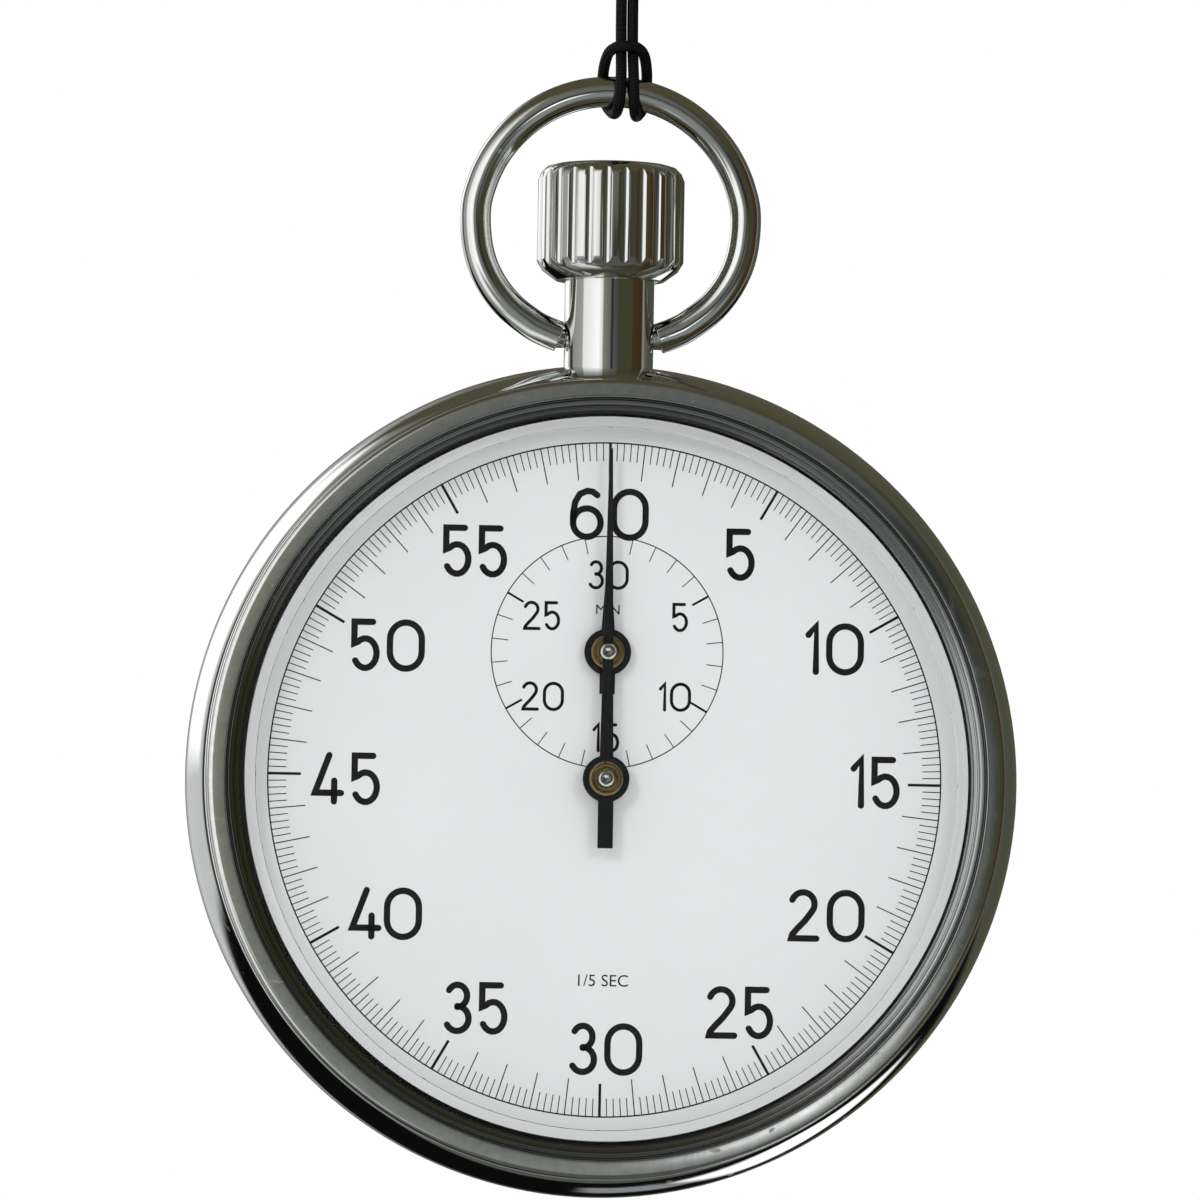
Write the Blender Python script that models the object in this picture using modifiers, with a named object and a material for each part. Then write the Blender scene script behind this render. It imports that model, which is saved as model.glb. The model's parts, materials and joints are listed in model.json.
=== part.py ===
"""A hand-wound stopwatch with a centre seconds hand and a minute counter, hanging from its lanyard.

Sizes are in millimetres in the watch's own frame: x to the right of the dial, y towards the crown,
z out of the dial, with z = 0 on the case back and the dial's centre on x = y = 0. One empty turns
that frame upright, so that the crown points up, the dial faces -Y, and the world's origin is where
the lanyard's eye hangs. Radii of holes are a shaft's radius and a clearance.
"""

import math

import bmesh
import bpy
from mathutils import Matrix

MM = 0.001
TAU = 2 * math.pi

# Clearances
SEAT_GAP = 0.1  # between pieces that sit on or in each other
SIDE_GAP = 0.15  # round pieces that slide or turn in a hole
PIVOT_GAP = 0.08  # round a wheel's pivot in its hole
ROUND = 36  # sides of a large round piece
FINE_ROUND = 12  # sides of a small one
ARBOR_SIDES = 8

# Case, along z
CASE_R = 26.0
CASE_WALL = 2.5
FLANK_FALL = 1.1  # how much smaller the case's two rims are than its middle
BAND_STEPS = 6
NECK_Z = 5.6
BACK_FLAT_R = CASE_R - 4.0
BACK_RIM_Z = 1.0
BACK_FLOOR = 0.8
SPIGOT_WALL = 0.6
SPIGOT_TOP = 1.9
BAND_TOP_Z = 10.2
BEZEL_R = CASE_R - 1.2
BEZEL_TOP_Z = 11.5
BEZEL_LIP_R = CASE_R - 2.4  # inner edge of the bezel's flat face
LIP_Z = 9.8  # what the crystal rests on
LIP_WIDTH = 0.25
CRYSTAL_R = CASE_R - 3.55
CRYSTAL_BEVEL = 0.7
CRYSTAL_EDGE_Z = 11.5
CRYSTAL_DOME = 0.5
CRYSTAL_SIDE = 1.25

# Movement, along z
TOP_PLATE = (1.6, 2.4)
MAIN_PLATE = (6.6, 7.5)
DIAL_Z = 8.0
DIAL_THICK = 0.4
PLATE_R = CASE_R - 4.3
RING_WALL = 1.3
PILLAR_R = 1.2
SCREW_R = 0.45
SCREW_HEAD_R = 0.9
SCREW_DEPTH = 1.9

# Hands
MINUTE_HAND_Z = 8.8
SECOND_HAND_Z = 9.25
HAND_THICK = 0.15
HAND_BOSS_R = 1.45
COLLET_R = 1.03
ARBOR_TIP_R = 0.53
ARBOR_TOP_Z = 9.68
SECOND_HAND_REACH = CASE_R - 5.6
SECOND_HAND_TAIL = 4.3
MINUTE_HAND_REACH = 5.9
MINUTE_HAND_TAIL = 2.6

# Neck, crown and stem, along y
NECK_R = 2.8
NECK_BORE_R = 2.1
NECK_FOOT_Y = CASE_R - 2.0
NECK_TOP_Y = NECK_FOOT_Y + 9.4
NECK_LIP = 1.1  # the spring rests on it
CROWN_R = 4.6
CROWN_FLUTES = 26
FLUTE_DEPTH = 0.22
CROWN_FOOT_Y = NECK_TOP_Y - 2.2
CROWN_CHAMFER = 1.2
CROWN_TOP_Y = CROWN_FOOT_Y + 7.4
CROWN_EDGE = 0.55
CROWN_RECESS_TOP_Y = CROWN_TOP_Y - 3.2
PUSH_TRAVEL = 1.5
STEM_R = 0.8
STEM_TIP_R = 0.4
STEM_STEP_Y = NECK_FOOT_Y + 0.4
SLEEVE_LENGTH = 5.1
SPRING_WIRE_R = 0.14
SPRING_TURNS = 5

# Bow
BOW_PIVOT_Y = CASE_R + 1.5
BOW_CENTRE_Y = BOW_PIVOT_Y + 7.05
BOW_RING_R = 8.575
BOW_WIRE_R = 0.965
BOW_PIN_R = 0.6
BOW_PIN_TIP_X = NECK_R - 0.5
BOW_SHOULDER_X = NECK_R + 0.3
BOW_ROUND_FROM = 6  # degrees above its middle, where the ring stops being round
# From there its wire runs in to the neck: x from the middle and y from the pivot.
BOW_FOOT_ROUTE = (
    (8.12, 5.20),
    (7.40, 3.60),
    (6.45, 2.45),
    (5.20, 1.40),
    (NECK_R + 1.45, 0.72),
    (NECK_R + 0.60, 0.30),
)

# Lanyard
CORD_R = 0.35
HITCH_X = 0.81  # the cow hitch sits a little right of the bow's middle
KNOT_FOOT_Y = BOW_CENTRE_Y + BOW_RING_R + 22.9
KNOT_TOP_Y = KNOT_FOOT_Y + 5.0
KNOT_R = 1.35
KNOT_END = 0.8

# The hitch on the bow: x out from the hitch's middle, then y and z from the bow wire's centre.
# It starts at the middle of the bight that crosses in front, wraps the wire and runs up.
HITCH_ROUTE = (
    (0.15, 2.78, 1.20),
    (0.65, 2.75, 0.80),
    (1.10, 2.45, 0.05),
    (1.33, 1.70, -0.62),
    (1.38, 0.80, -1.18),
    (1.30, 0.00, -1.37),
    (1.12, -0.75, -1.15),
    (0.85, -1.22, -0.62),
    (0.66, -1.37, 0.00),
    (0.54, -1.18, 0.70),
    (0.46, -0.68, 1.19),
    (0.42, 0.00, 1.37),
    (0.40, 0.70, 1.36),
    (0.38, 1.40, 1.12),
    (0.37, 2.10, 0.76),
    (0.36, 2.80, 0.44),
    (0.36, 3.70, 0.20),
    (0.36, 5.00, 0.06),
    (0.36, 7.00, 0.00),
    (0.36, 12.0, 0.00),
    (0.36, 17.0, 0.00),
    (0.36, 22.6, 0.00),
)
# The eye above the knot: x from the hitch's middle, y from the knot's top.
EYE_ROUTE = (
    (-0.36, 0.20),
    (-0.50, 1.70),
    (-1.00, 4.40),
    (-1.70, 7.60),
    (-2.20, 10.4),
    (-2.12, 12.4),
    (-1.40, 13.9),
    (0.00, 14.5),
    (1.40, 13.9),
    (2.12, 12.4),
    (2.20, 10.4),
    (1.70, 7.60),
    (1.00, 4.40),
    (0.50, 1.70),
    (0.36, 0.20),
)
HANG_Y = KNOT_TOP_Y + max(y for _, y in EYE_ROUTE) - CORD_R  # under the eye's top

# Going train: teeth, and the modules of the meshes
BARREL_TEETH, CENTRE_PINION = 48, 8
CENTRE_TEETH, THIRD_PINION = 48, 6
THIRD_TEETH, SECONDS_PINION = 45, 6
SECONDS_TEETH, ESCAPE_PINION = 60, 6
ESCAPE_TEETH = 15
COUNTER_TEETH, COUNTER_PINION = 36, 6
MINUTE_TEETH = 30
CENTRE_MODULE = 0.19
THIRD_MODULE = 0.20  # also the counter wheel's, which turns on the same pinion
ESCAPE_MODULE = 0.12  # the seconds wheel passes inside the third and the counter arbors
MINUTE_MODULE = 0.24
ADDENDUM = 0.72  # in modules
DEDENDUM = 1.0
FINE_TEETH = 20

# Winding work
WINDING_TEETH = 8
CROWN_WHEEL_TEETH = 20
RATCHET_TEETH = 28
PEG_RING_R = 3.0
PEG_R = 0.15

# Places of the arbors
SECONDS = (0.0, 0.0)
MINUTE = (0.0, 7.75)
CROWN_WHEEL = (0.0, 16.8)
BARREL = (-7.4, 12.4)
CENTRE = (-8.3, 4.9)
BALANCE = (7.5, -11.7)
ESCAPE_BEARING = math.radians(-60)
PALLET_SHARE = 0.3  # how far along from the escape wheel to the balance
COLUMN = (11.0, 9.2)
LEVER = (9.5, 15.2)
HAMMER = (5.6, 12.6)
BRAKE = (16.2, -1.5)
CLICK = (-15.2, 9.8)
COCK_FOOT = (14.9, -8.7)
PILLARS = ((-12.0, -14.5), (17.8, 8.2), (-18.2, 5.0))

BALANCE_R = 6.0
BALANCE_RIM = 0.8
DRUM_R = 5.1
DRUM_WALL = 0.45
ESCAPE_R = 2.2
STAFF_R = 0.3
COCK_R = 1.5
BARREL_ARBOR_R = 0.8
ARBOR_R = 0.2
PIVOT_R = 0.14

COLOURS = {
    "steel": ((0.62, 0.62, 0.60), 0.28, 1.0),
    "chrome": ((0.80, 0.81, 0.80), 0.06, 1.0),
    "brass": ((0.70, 0.52, 0.22), 0.30, 1.0),
    "spring_steel": ((0.20, 0.22, 0.30), 0.30, 1.0),
    "dial_white": ((0.78, 0.78, 0.76), 0.55, 0.0),
    "hand_black": ((0.012, 0.012, 0.012), 0.45, 0.0),
    "cord_black": ((0.010, 0.010, 0.011), 0.80, 0.0),
    "acrylic": ((0.92, 0.94, 0.94), 0.03, 0.0),
}


# Scene, materials and placing


def clear_scene():
    for block in list(bpy.data.objects):
        bpy.data.objects.remove(block, do_unlink=True)


def make_materials():
    made = {}
    for name, (colour, roughness, metallic) in COLOURS.items():
        material = bpy.data.materials.new(name)
        material.use_nodes = True
        shader = material.node_tree.nodes["Principled BSDF"]
        shader.inputs["Base Color"].default_value = (*colour, 1.0)
        shader.inputs["Roughness"].default_value = roughness
        shader.inputs["Metallic"].default_value = metallic
        made[name] = material
    return made


clear_scene()
MATERIALS = make_materials()
WATCH = bpy.data.collections.new("stopwatch")
CUTTERS = bpy.data.collections.new("cutters")
for collection in (WATCH, CUTTERS):
    bpy.context.scene.collection.children.link(collection)

FRAME = bpy.data.objects.new("watch_frame", None)
FRAME.rotation_euler = (math.radians(90), 0, 0)
FRAME.location = (-HITCH_X * MM, NECK_Z * MM, -HANG_Y * MM)
WATCH.objects.link(FRAME)


def add(name, mesh, material, place=(0, 0, 0), along=None):
    """An object in the watch's frame. along "y" or "x" lays the mesh's own z axis that way."""
    obj = bpy.data.objects.new(name, mesh)
    turn = {None: (0, 0, 0), "y": (math.radians(-90), 0, 0), "x": (0, math.radians(90), 0)}[along]
    obj.rotation_euler = turn
    obj.location = [value * MM for value in place]
    obj.parent = FRAME
    WATCH.objects.link(obj)
    if material:
        mesh.materials.clear()
        mesh.materials.append(MATERIALS[material])
    return obj


def as_helper(obj):
    """Moves a cutter, or a shape that is joined to another, out of the model."""
    WATCH.objects.unlink(obj)
    CUTTERS.objects.link(obj)
    obj.hide_render = True
    obj.display_type = "WIRE"
    return obj


def combine(obj, helper, operation):
    as_helper(helper)
    boolean = obj.modifiers.new(helper.name, "BOOLEAN")
    boolean.operation = operation
    boolean.solver = "EXACT"
    boolean.object = helper
    return obj


def cut(obj, *helpers):
    for helper in helpers:
        combine(obj, helper, "DIFFERENCE")
    return obj


def join(obj, *helpers):
    for helper in helpers:
        combine(obj, helper, "UNION")
    return obj


# Shapes


def circle(radius, sides=FINE_ROUND, centre=(0, 0), start=0.0):
    return [
        (centre[0] + radius * math.cos(angle), centre[1] + radius * math.sin(angle))
        for angle in (start + TAU * i / sides for i in range(sides))
    ]


def flat(name, outlines, low, high, material, place=(0, 0), along=None):
    """A flat piece between two heights. The first outline is its edge, and the others are holes in it."""
    curve = bpy.data.curves.new(name, "CURVE")
    curve.dimensions = "2D"
    curve.fill_mode = "BOTH"
    curve.extrude = (high - low) / 2 * MM
    for outline in outlines:
        spline = curve.splines.new("POLY")
        spline.points.add(len(outline) - 1)
        for point, (x, y) in zip(spline.points, outline, strict=True):
            point.co = (x * MM, y * MM, 0, 1)
        spline.use_cyclic_u = True
    mesh = meshed(name, curve)
    mesh.transform(Matrix.Translation((0, 0, (low + high) / 2 * MM)))
    return add(name, mesh, material, (*place, 0), along)


def meshed(name, curve):
    """A curve's surface as a mesh, with its caps sewn to its sides."""
    source = bpy.data.objects.new(name, curve)
    bpy.context.scene.collection.objects.link(source)
    graph = bpy.context.evaluated_depsgraph_get()
    mesh = bpy.data.meshes.new_from_object(source.evaluated_get(graph))
    bpy.data.objects.remove(source, do_unlink=True)
    sewn = bmesh.new()
    sewn.from_mesh(mesh)
    bmesh.ops.remove_doubles(sewn, verts=sewn.verts, dist=1e-6)
    bmesh.ops.recalc_face_normals(sewn, faces=sewn.faces)
    sewn.to_mesh(mesh)
    sewn.free()
    mesh.name = name
    return mesh


def turned(name, profile, material, place=(0, 0, 0), along=None, sides=FINE_ROUND):
    """A lathe piece. The profile gives (radius, height) from the top down the outside.

    A tube's profile comes back up the inside."""
    mesh = bpy.data.meshes.new(name)
    solid = profile[0][0] == 0
    points = [(radius * MM, 0, height * MM) for radius, height in profile]
    edges = [(i, i + 1) for i in range(len(points) - 1)] + ([] if solid else [(len(points) - 1, 0)])
    mesh.from_pydata(points, edges, [])
    obj = add(name, mesh, material, place, along)
    screw = obj.modifiers.new("lathe", "SCREW")
    screw.angle = TAU
    screw.steps = screw.render_steps = sides
    screw.use_merge_vertices = True
    screw.merge_threshold = 1e-6
    return obj


def tube(name, low, high, outer, inner, material, place=(0, 0, 0), along=None, sides=FINE_ROUND):
    """A plain ring between two heights."""
    profile = [(outer, high), (outer, low), (inner, low), (inner, high)]
    return turned(name, profile, material, place, along, sides)


def rod(name, low, high, radius, material=None, place=(0, 0, 0), along=None, sides=FINE_ROUND):
    return turned(name, [(0, high), (radius, high), (radius, low), (0, low)], material, place, along, sides)


def smooth_curve(points, per_span):
    """Catmull-Rom points through the route's own."""
    padded = [points[0], *points, points[-1]]
    out = []
    for a, b, c, d in zip(padded, padded[1:], padded[2:], padded[3:], strict=False):
        for i in range(per_span):
            t = i / per_span
            out.append(
                tuple(
                    0.5
                    * (
                        2 * q
                        + (r - p) * t
                        + (2 * p - 5 * q + 4 * r - s) * t**2
                        + (3 * q - p - 3 * r + s) * t**3
                    )
                    for p, q, r, s in zip(a, b, c, d, strict=True)
                )
            )
    return [*out, points[-1]]


def wire(name, points, radius, resolution=2):
    """A round wire or cord with closed ends, along points in the watch's frame."""
    curve = bpy.data.curves.new(name, "CURVE")
    curve.dimensions = "3D"
    curve.bevel_depth = radius * MM
    curve.bevel_resolution = resolution
    curve.use_fill_caps = True
    spline = curve.splines.new("POLY")
    spline.points.add(len(points) - 1)
    for point, place in zip(spline.points, points, strict=True):
        point.co = (*[value * MM for value in place], 1)
    return curve


def add_curve(name, curve, material):
    obj = bpy.data.objects.new(name, curve)
    obj.parent = FRAME
    WATCH.objects.link(obj)
    curve.materials.append(MATERIALS[material])
    return obj


def link(start, end, start_r, end_r, steps=5):
    """The outline of a bar with round ends, from one boss to the next."""
    bearing = math.atan2(end[1] - start[1], end[0] - start[0])
    length = math.dist(start, end)
    lean = math.acos((start_r - end_r) / length)
    out = []
    for centre, radius, first, last in (
        (start, start_r, bearing + lean, bearing + TAU - lean),
        (end, end_r, bearing - lean, bearing + lean),
    ):
        for i in range(steps + 1):
            angle = first + (last - first) * i / steps
            out.append((centre[0] + radius * math.cos(angle), centre[1] + radius * math.sin(angle)))
    return out


# Gears


def pitch_r(module, teeth):
    return module * teeth / 2


def toothed(module, teeth, phase, root_share=0.36):
    """A gear's outline, with pointed teeth narrow enough to run with play.

    A fine wheel's gaps are pointed too."""
    radius = pitch_r(module, teeth)
    pitch = TAU / teeth
    tip = (radius + ADDENDUM * module, 0)
    gap = radius - DEDENDUM * module
    corners = (tip, (gap, 0.5)) if teeth >= FINE_TEETH else ((gap, -root_share), tip, (gap, root_share))
    out = []
    for i in range(teeth):
        middle = phase + pitch * i
        for r, turn in corners:
            out.append((r * math.cos(middle + turn * pitch), r * math.sin(middle + turn * pitch)))
    return out


def mesh_phase(teeth, phase, place, other_teeth, other_place):
    """The phase at which another gear's gaps meet this one's teeth."""
    bearing = math.atan2(other_place[1] - place[1], other_place[0] - place[0])
    return bearing + math.pi - teeth / other_teeth * (phase - bearing) - math.pi / other_teeth


def centre_distance(module, teeth, pinion):
    return module * (teeth + pinion) / 2


def meeting_point(a, a_distance, b, b_distance, side):
    """The point at these distances from two others, to one side of the line from a to b."""
    span = math.dist(a, b)
    along = (a_distance**2 - b_distance**2 + span**2) / (2 * span)
    off = side * math.sqrt(a_distance**2 - along**2)
    ux, uy = (b[0] - a[0]) / span, (b[1] - a[1]) / span
    return (a[0] + along * ux - off * uy, a[1] + along * uy + off * ux)


THIRD = meeting_point(
    SECONDS,
    centre_distance(THIRD_MODULE, THIRD_TEETH, SECONDS_PINION),
    CENTRE,
    centre_distance(CENTRE_MODULE, CENTRE_TEETH, THIRD_PINION),
    side=1,
)
COUNTER = meeting_point(
    SECONDS,
    centre_distance(THIRD_MODULE, COUNTER_TEETH, SECONDS_PINION),
    MINUTE,
    centre_distance(MINUTE_MODULE, MINUTE_TEETH, COUNTER_PINION),
    side=-1,
)
ESCAPE_REACH = centre_distance(ESCAPE_MODULE, SECONDS_TEETH, ESCAPE_PINION)
ESCAPE = (ESCAPE_REACH * math.cos(ESCAPE_BEARING), ESCAPE_REACH * math.sin(ESCAPE_BEARING))
PALLET = tuple(e + (b - e) * PALLET_SHARE for e, b in zip(ESCAPE, BALANCE, strict=True))
BARREL_PITCH_MODULE = 2 * math.dist(BARREL, CENTRE) / (BARREL_TEETH + CENTRE_PINION)
RATCHET_MODULE = 2 * math.dist(BARREL, CROWN_WHEEL) / (CROWN_WHEEL_TEETH + RATCHET_TEETH)
WINDING_R = PEG_RING_R * WINDING_TEETH / CROWN_WHEEL_TEETH

# Layers between the plates: (low, high) of each wheel
LOW_LAYER = (2.65, 3.05)  # centre wheel and minute wheel
RATCHET_LAYER = (3.35, 3.8)
ESCAPE_LAYER = (3.4, 3.8)
THIRD_LAYER = (4.05, 4.4)
COUNTER_LAYER = (4.85, 5.2)
SECONDS_LAYER = (5.65, 6.0)
DRUM_LAYER = (4.1, 6.3)
BARREL_TOOTH_LAYER = (5.8, 6.3)
BALANCE_LAYER = (4.75, 5.3)
LEVER_LAYER = (4.9, 5.5)
HEART_LAYER = (3.25, 3.6)
HAIRSPRING_LAYER = (5.6, 5.9)
PINION_PLAY = 0.1  # a pinion is this much longer than its wheel at each end


def arbor_profile(top=None, tip_r=None):
    """An arbor between the plates, with a pivot in each, or running on up past the dial."""
    shoulder_low = TOP_PLATE[1] + SEAT_GAP
    shoulder_high = MAIN_PLATE[0] - SEAT_GAP
    foot = TOP_PLATE[0] + SEAT_GAP
    upper = (
        [(0, top), (tip_r, top), (tip_r, shoulder_high)]
        if top
        else [(0, MAIN_PLATE[1] - SEAT_GAP), (PIVOT_R, MAIN_PLATE[1] - SEAT_GAP), (PIVOT_R, shoulder_high)]
    )
    shoulders = [(ARBOR_R, shoulder_high), (ARBOR_R, shoulder_low)]
    return [*upper, *shoulders, (PIVOT_R, shoulder_low), (PIVOT_R, foot), (0, foot)]


def wheel_on_arbor(name, place, layer, outline, pinions, top=None, tip_r=None, holes=(), material="brass"):
    """A wheel, its pinions and its arbor as one piece. pinions gives (outline, low, high)."""
    wheel = flat(name, [outline, *holes], *layer, material, place)
    arbor = turned(name + "_arbor", arbor_profile(top, tip_r), None, (*place, 0), sides=ARBOR_SIDES)
    leaves = [
        flat(f"{name}_leaves_{i}", [leaf], low, high, None, place)
        for i, (leaf, low, high) in enumerate(pinions)
    ]
    return join(wheel, arbor, *leaves)


def around(layer, play=PINION_PLAY):
    return layer[0] - play, layer[1] + play


def crossings(inner, outer, count, half_spoke, steps=4):
    """Windows that leave straight spokes in a wheel."""
    out = []
    for i in range(count):
        middle = 0.13 + TAU * (i + 0.5) / count
        window = []
        for radius, direction in ((outer, 1), (inner, -1)):
            half = math.pi / count - math.asin(half_spoke / radius)
            for j in range(steps + 1):
                angle = middle + direction * half * (2 * j / steps - 1)
                window.append((radius * math.cos(angle), radius * math.sin(angle)))
        out.append(window)
    return out


# Casing


def flank_r(z):
    """The band's bulging outer side, widest level with the neck."""
    reach = (z - NECK_Z) / ((BAND_TOP_Z - BACK_RIM_Z) / 2)
    return CASE_R - FLANK_FALL * abs(reach) ** 2.2


def case_band():
    inner = CASE_R - CASE_WALL
    foot = BACK_RIM_Z + SEAT_GAP
    heights = [BAND_TOP_Z - (BAND_TOP_Z - foot) * i / BAND_STEPS for i in range(BAND_STEPS + 1)]
    band = turned(
        "case_band",
        [(inner, BAND_TOP_Z), *[(flank_r(z), z) for z in heights], (inner, foot)],
        "chrome",
        sides=ROUND,
    )
    hole_r, middle = NECK_R + SEAT_GAP, (0, 0, NECK_Z)
    hole = rod("neck_hole", inner - 2, CASE_R + 2, hole_r, place=middle, along="y", sides=16)
    return cut(band, hole)


def case_back():
    spigot_r = CASE_R - CASE_WALL - SEAT_GAP
    rim_r = flank_r(BACK_RIM_Z + SEAT_GAP) - SEAT_GAP
    profile = [
        (0, BACK_FLOOR),
        (spigot_r - SPIGOT_WALL, BACK_FLOOR),
        (spigot_r - SPIGOT_WALL, SPIGOT_TOP),
        (spigot_r, SPIGOT_TOP),
        (spigot_r, BACK_RIM_Z),
        (rim_r, BACK_RIM_Z),
        (rim_r - 0.3, BACK_RIM_Z - 0.35),
        (BACK_FLAT_R, 0),
        (0, 0),
    ]
    turned("case_back", profile, "chrome", sides=ROUND)


def bezel():
    spigot_r = CASE_R - CASE_WALL - SEAT_GAP
    seat = BAND_TOP_Z + SEAT_GAP
    foot = DIAL_Z + DIAL_THICK + SEAT_GAP
    bore = CRYSTAL_R + SEAT_GAP
    profile = [
        (BEZEL_LIP_R, BEZEL_TOP_Z),
        (BEZEL_R - 0.45, BEZEL_TOP_Z),
        (BEZEL_R - 0.12, BEZEL_TOP_Z - 0.14),
        (BEZEL_R, BEZEL_TOP_Z - 0.5),
        (BEZEL_R, seat),
        (spigot_r, seat),
        (spigot_r, foot),
        (bore - LIP_WIDTH, foot),
        (bore - LIP_WIDTH, LIP_Z),
        (bore, LIP_Z),
        (bore, BEZEL_TOP_Z - 0.65),
    ]
    turned("bezel", profile, "chrome", sides=ROUND)


def crystal():
    foot = LIP_Z + SEAT_GAP
    top_r = CRYSTAL_R - CRYSTAL_BEVEL
    dome = [
        (top_r * share, CRYSTAL_EDGE_Z + CRYSTAL_DOME * (1 - share**2)) for share in (0.0, 0.35, 0.7, 1.0)
    ]
    profile = [*dome, (CRYSTAL_R, foot + CRYSTAL_SIDE), (CRYSTAL_R, foot), (0, foot)]
    turned("crystal", profile, "acrylic", sides=ROUND)


def dial():
    edge = circle(CASE_R - CASE_WALL - SEAT_GAP, ROUND)
    holes = [circle(ARBOR_TIP_R + SIDE_GAP, FINE_ROUND, place) for place in (SECONDS, MINUTE)]
    flat("dial", [edge, *holes], DIAL_Z, DIAL_Z + DIAL_THICK, "dial_white")


def movement_ring():
    outer = CASE_R - CASE_WALL - SEAT_GAP - 0.2
    low, high = SPIGOT_TOP + SEAT_GAP, DIAL_Z - SEAT_GAP
    ring = tube("movement_ring", low, high, outer, outer - RING_WALL, "brass", sides=ROUND)
    slot = rod("stem_slot", outer - 4, outer + 2, STEM_R + SIDE_GAP, place=(0, 0, NECK_Z), along="y")
    cut(ring, slot)


def neck_tube():
    lip_r, lip_top = STEM_R + SIDE_GAP, NECK_FOOT_Y + NECK_LIP
    profile = [
        (NECK_R, NECK_TOP_Y),
        (NECK_R, NECK_FOOT_Y),
        (lip_r, NECK_FOOT_Y),
        (lip_r, lip_top),
        (NECK_BORE_R, lip_top),
        (NECK_BORE_R, NECK_TOP_Y),
    ]
    neck = turned("neck_tube", profile, "chrome", (0, 0, NECK_Z), "y", 20)
    reach = NECK_R + 1
    pivot = (0, BOW_PIVOT_Y, NECK_Z)
    cut(neck, rod("bow_holes", -reach, reach, BOW_PIN_R + SIDE_GAP, place=pivot, along="x"))


# Crown, stem and the parts they push


def crown():
    outline = []
    for i in range(CROWN_FLUTES):
        for share, radius in ((0.0, CROWN_R), (0.5, CROWN_R), (0.75, CROWN_R - FLUTE_DEPTH)):
            angle = TAU * (i + share) / CROWN_FLUTES
            outline.append((radius * math.cos(angle), -radius * math.sin(angle)))
    obj = flat("crown", [outline], CROWN_FOOT_Y - 1, CROWN_TOP_Y + 1, "chrome", (0, 0), "y")
    obj.location.z = NECK_Z * MM
    envelope = turned(
        "crown_envelope",
        [
            (0, CROWN_TOP_Y),
            (CROWN_R - CROWN_EDGE * 2, CROWN_TOP_Y - 0.12),
            (CROWN_R - CROWN_EDGE * 0.5, CROWN_TOP_Y - CROWN_EDGE * 0.7),
            (CROWN_R + 0.1, CROWN_TOP_Y - CROWN_EDGE * 2),
            (CROWN_R + 0.1, CROWN_FOOT_Y + CROWN_CHAMFER),
            (CROWN_R - CROWN_CHAMFER, CROWN_FOOT_Y),
            (0, CROWN_FOOT_Y),
        ],
        None,
        (0, 0, NECK_Z),
        "y",
        32,
    )
    combine(obj, envelope, "INTERSECT")
    recess_r = NECK_R + 0.2
    foot, middle = CROWN_FOOT_Y - 1, (0, 0, NECK_Z)
    recess = rod("crown_recess", foot, CROWN_RECESS_TOP_Y, recess_r, None, middle, "y", 24)
    cut(obj, recess)


def stem():
    top = CROWN_RECESS_TOP_Y - SEAT_GAP
    tip = CROWN_WHEEL[1] + 1.4  # just above the operating lever
    profile = [
        (0, top),
        (STEM_R, top),
        (STEM_R, STEM_STEP_Y),
        (STEM_TIP_R, STEM_STEP_Y - 0.3),
        (STEM_TIP_R, tip),
        (0, tip),
    ]
    turned("winding_stem", profile, "steel", (0, 0, NECK_Z), "y")


def push_sleeve():
    top = CROWN_RECESS_TOP_Y - SEAT_GAP
    outer, bore = NECK_BORE_R - SIDE_GAP, STEM_R + SIDE_GAP
    tube("push_sleeve", top - SLEEVE_LENGTH, top, outer, bore, "steel", (0, 0, NECK_Z), "y", 16)


def push_spring():
    rest = SPRING_WIRE_R + SEAT_GAP / 2
    foot = NECK_FOOT_Y + NECK_LIP + rest
    top = CROWN_RECESS_TOP_Y - SEAT_GAP - SLEEVE_LENGTH - rest
    radius = (STEM_R + NECK_BORE_R) / 2
    per_turn = 9
    count = SPRING_TURNS * per_turn
    points = [
        (
            radius * math.cos(TAU * i / per_turn),
            foot + (top - foot) * i / count,
            NECK_Z + radius * math.sin(TAU * i / per_turn),
        )
        for i in range(count + 1)
    ]
    add_curve("push_spring", wire("push_spring", points, SPRING_WIRE_R, 0), "spring_steel")


def bow():
    """The ring's wire, with its two ends turned in through the neck."""
    low = math.radians(BOW_ROUND_FROM)
    count = 24
    angles = [low + (math.pi - 2 * low) * i / count for i in range(count + 1)]
    ring = [(BOW_RING_R * math.cos(a), BOW_CENTRE_Y + BOW_RING_R * math.sin(a), NECK_Z) for a in angles]
    foot = [(x, BOW_PIVOT_Y + y, NECK_Z) for x, y in BOW_FOOT_ROUTE]
    route = [*reversed(foot), *ring, *[(-x, y, z) for x, y, z in foot]]
    mesh = meshed("bow", wire("bow", route, BOW_WIRE_R))
    obj = add("bow", mesh, "chrome")
    pins = []
    for side in ("right", "left"):
        place = (0, BOW_PIVOT_Y, NECK_Z)
        low, high = BOW_PIN_TIP_X, BOW_SHOULDER_X + 1
        pins.append(rod(f"bow_pin_{side}", low, high, BOW_PIN_R, place=place, along="x"))
    pins[1].rotation_euler = (0, math.radians(-90), 0)
    join(obj, *pins)


# Plates and what holds them


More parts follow.
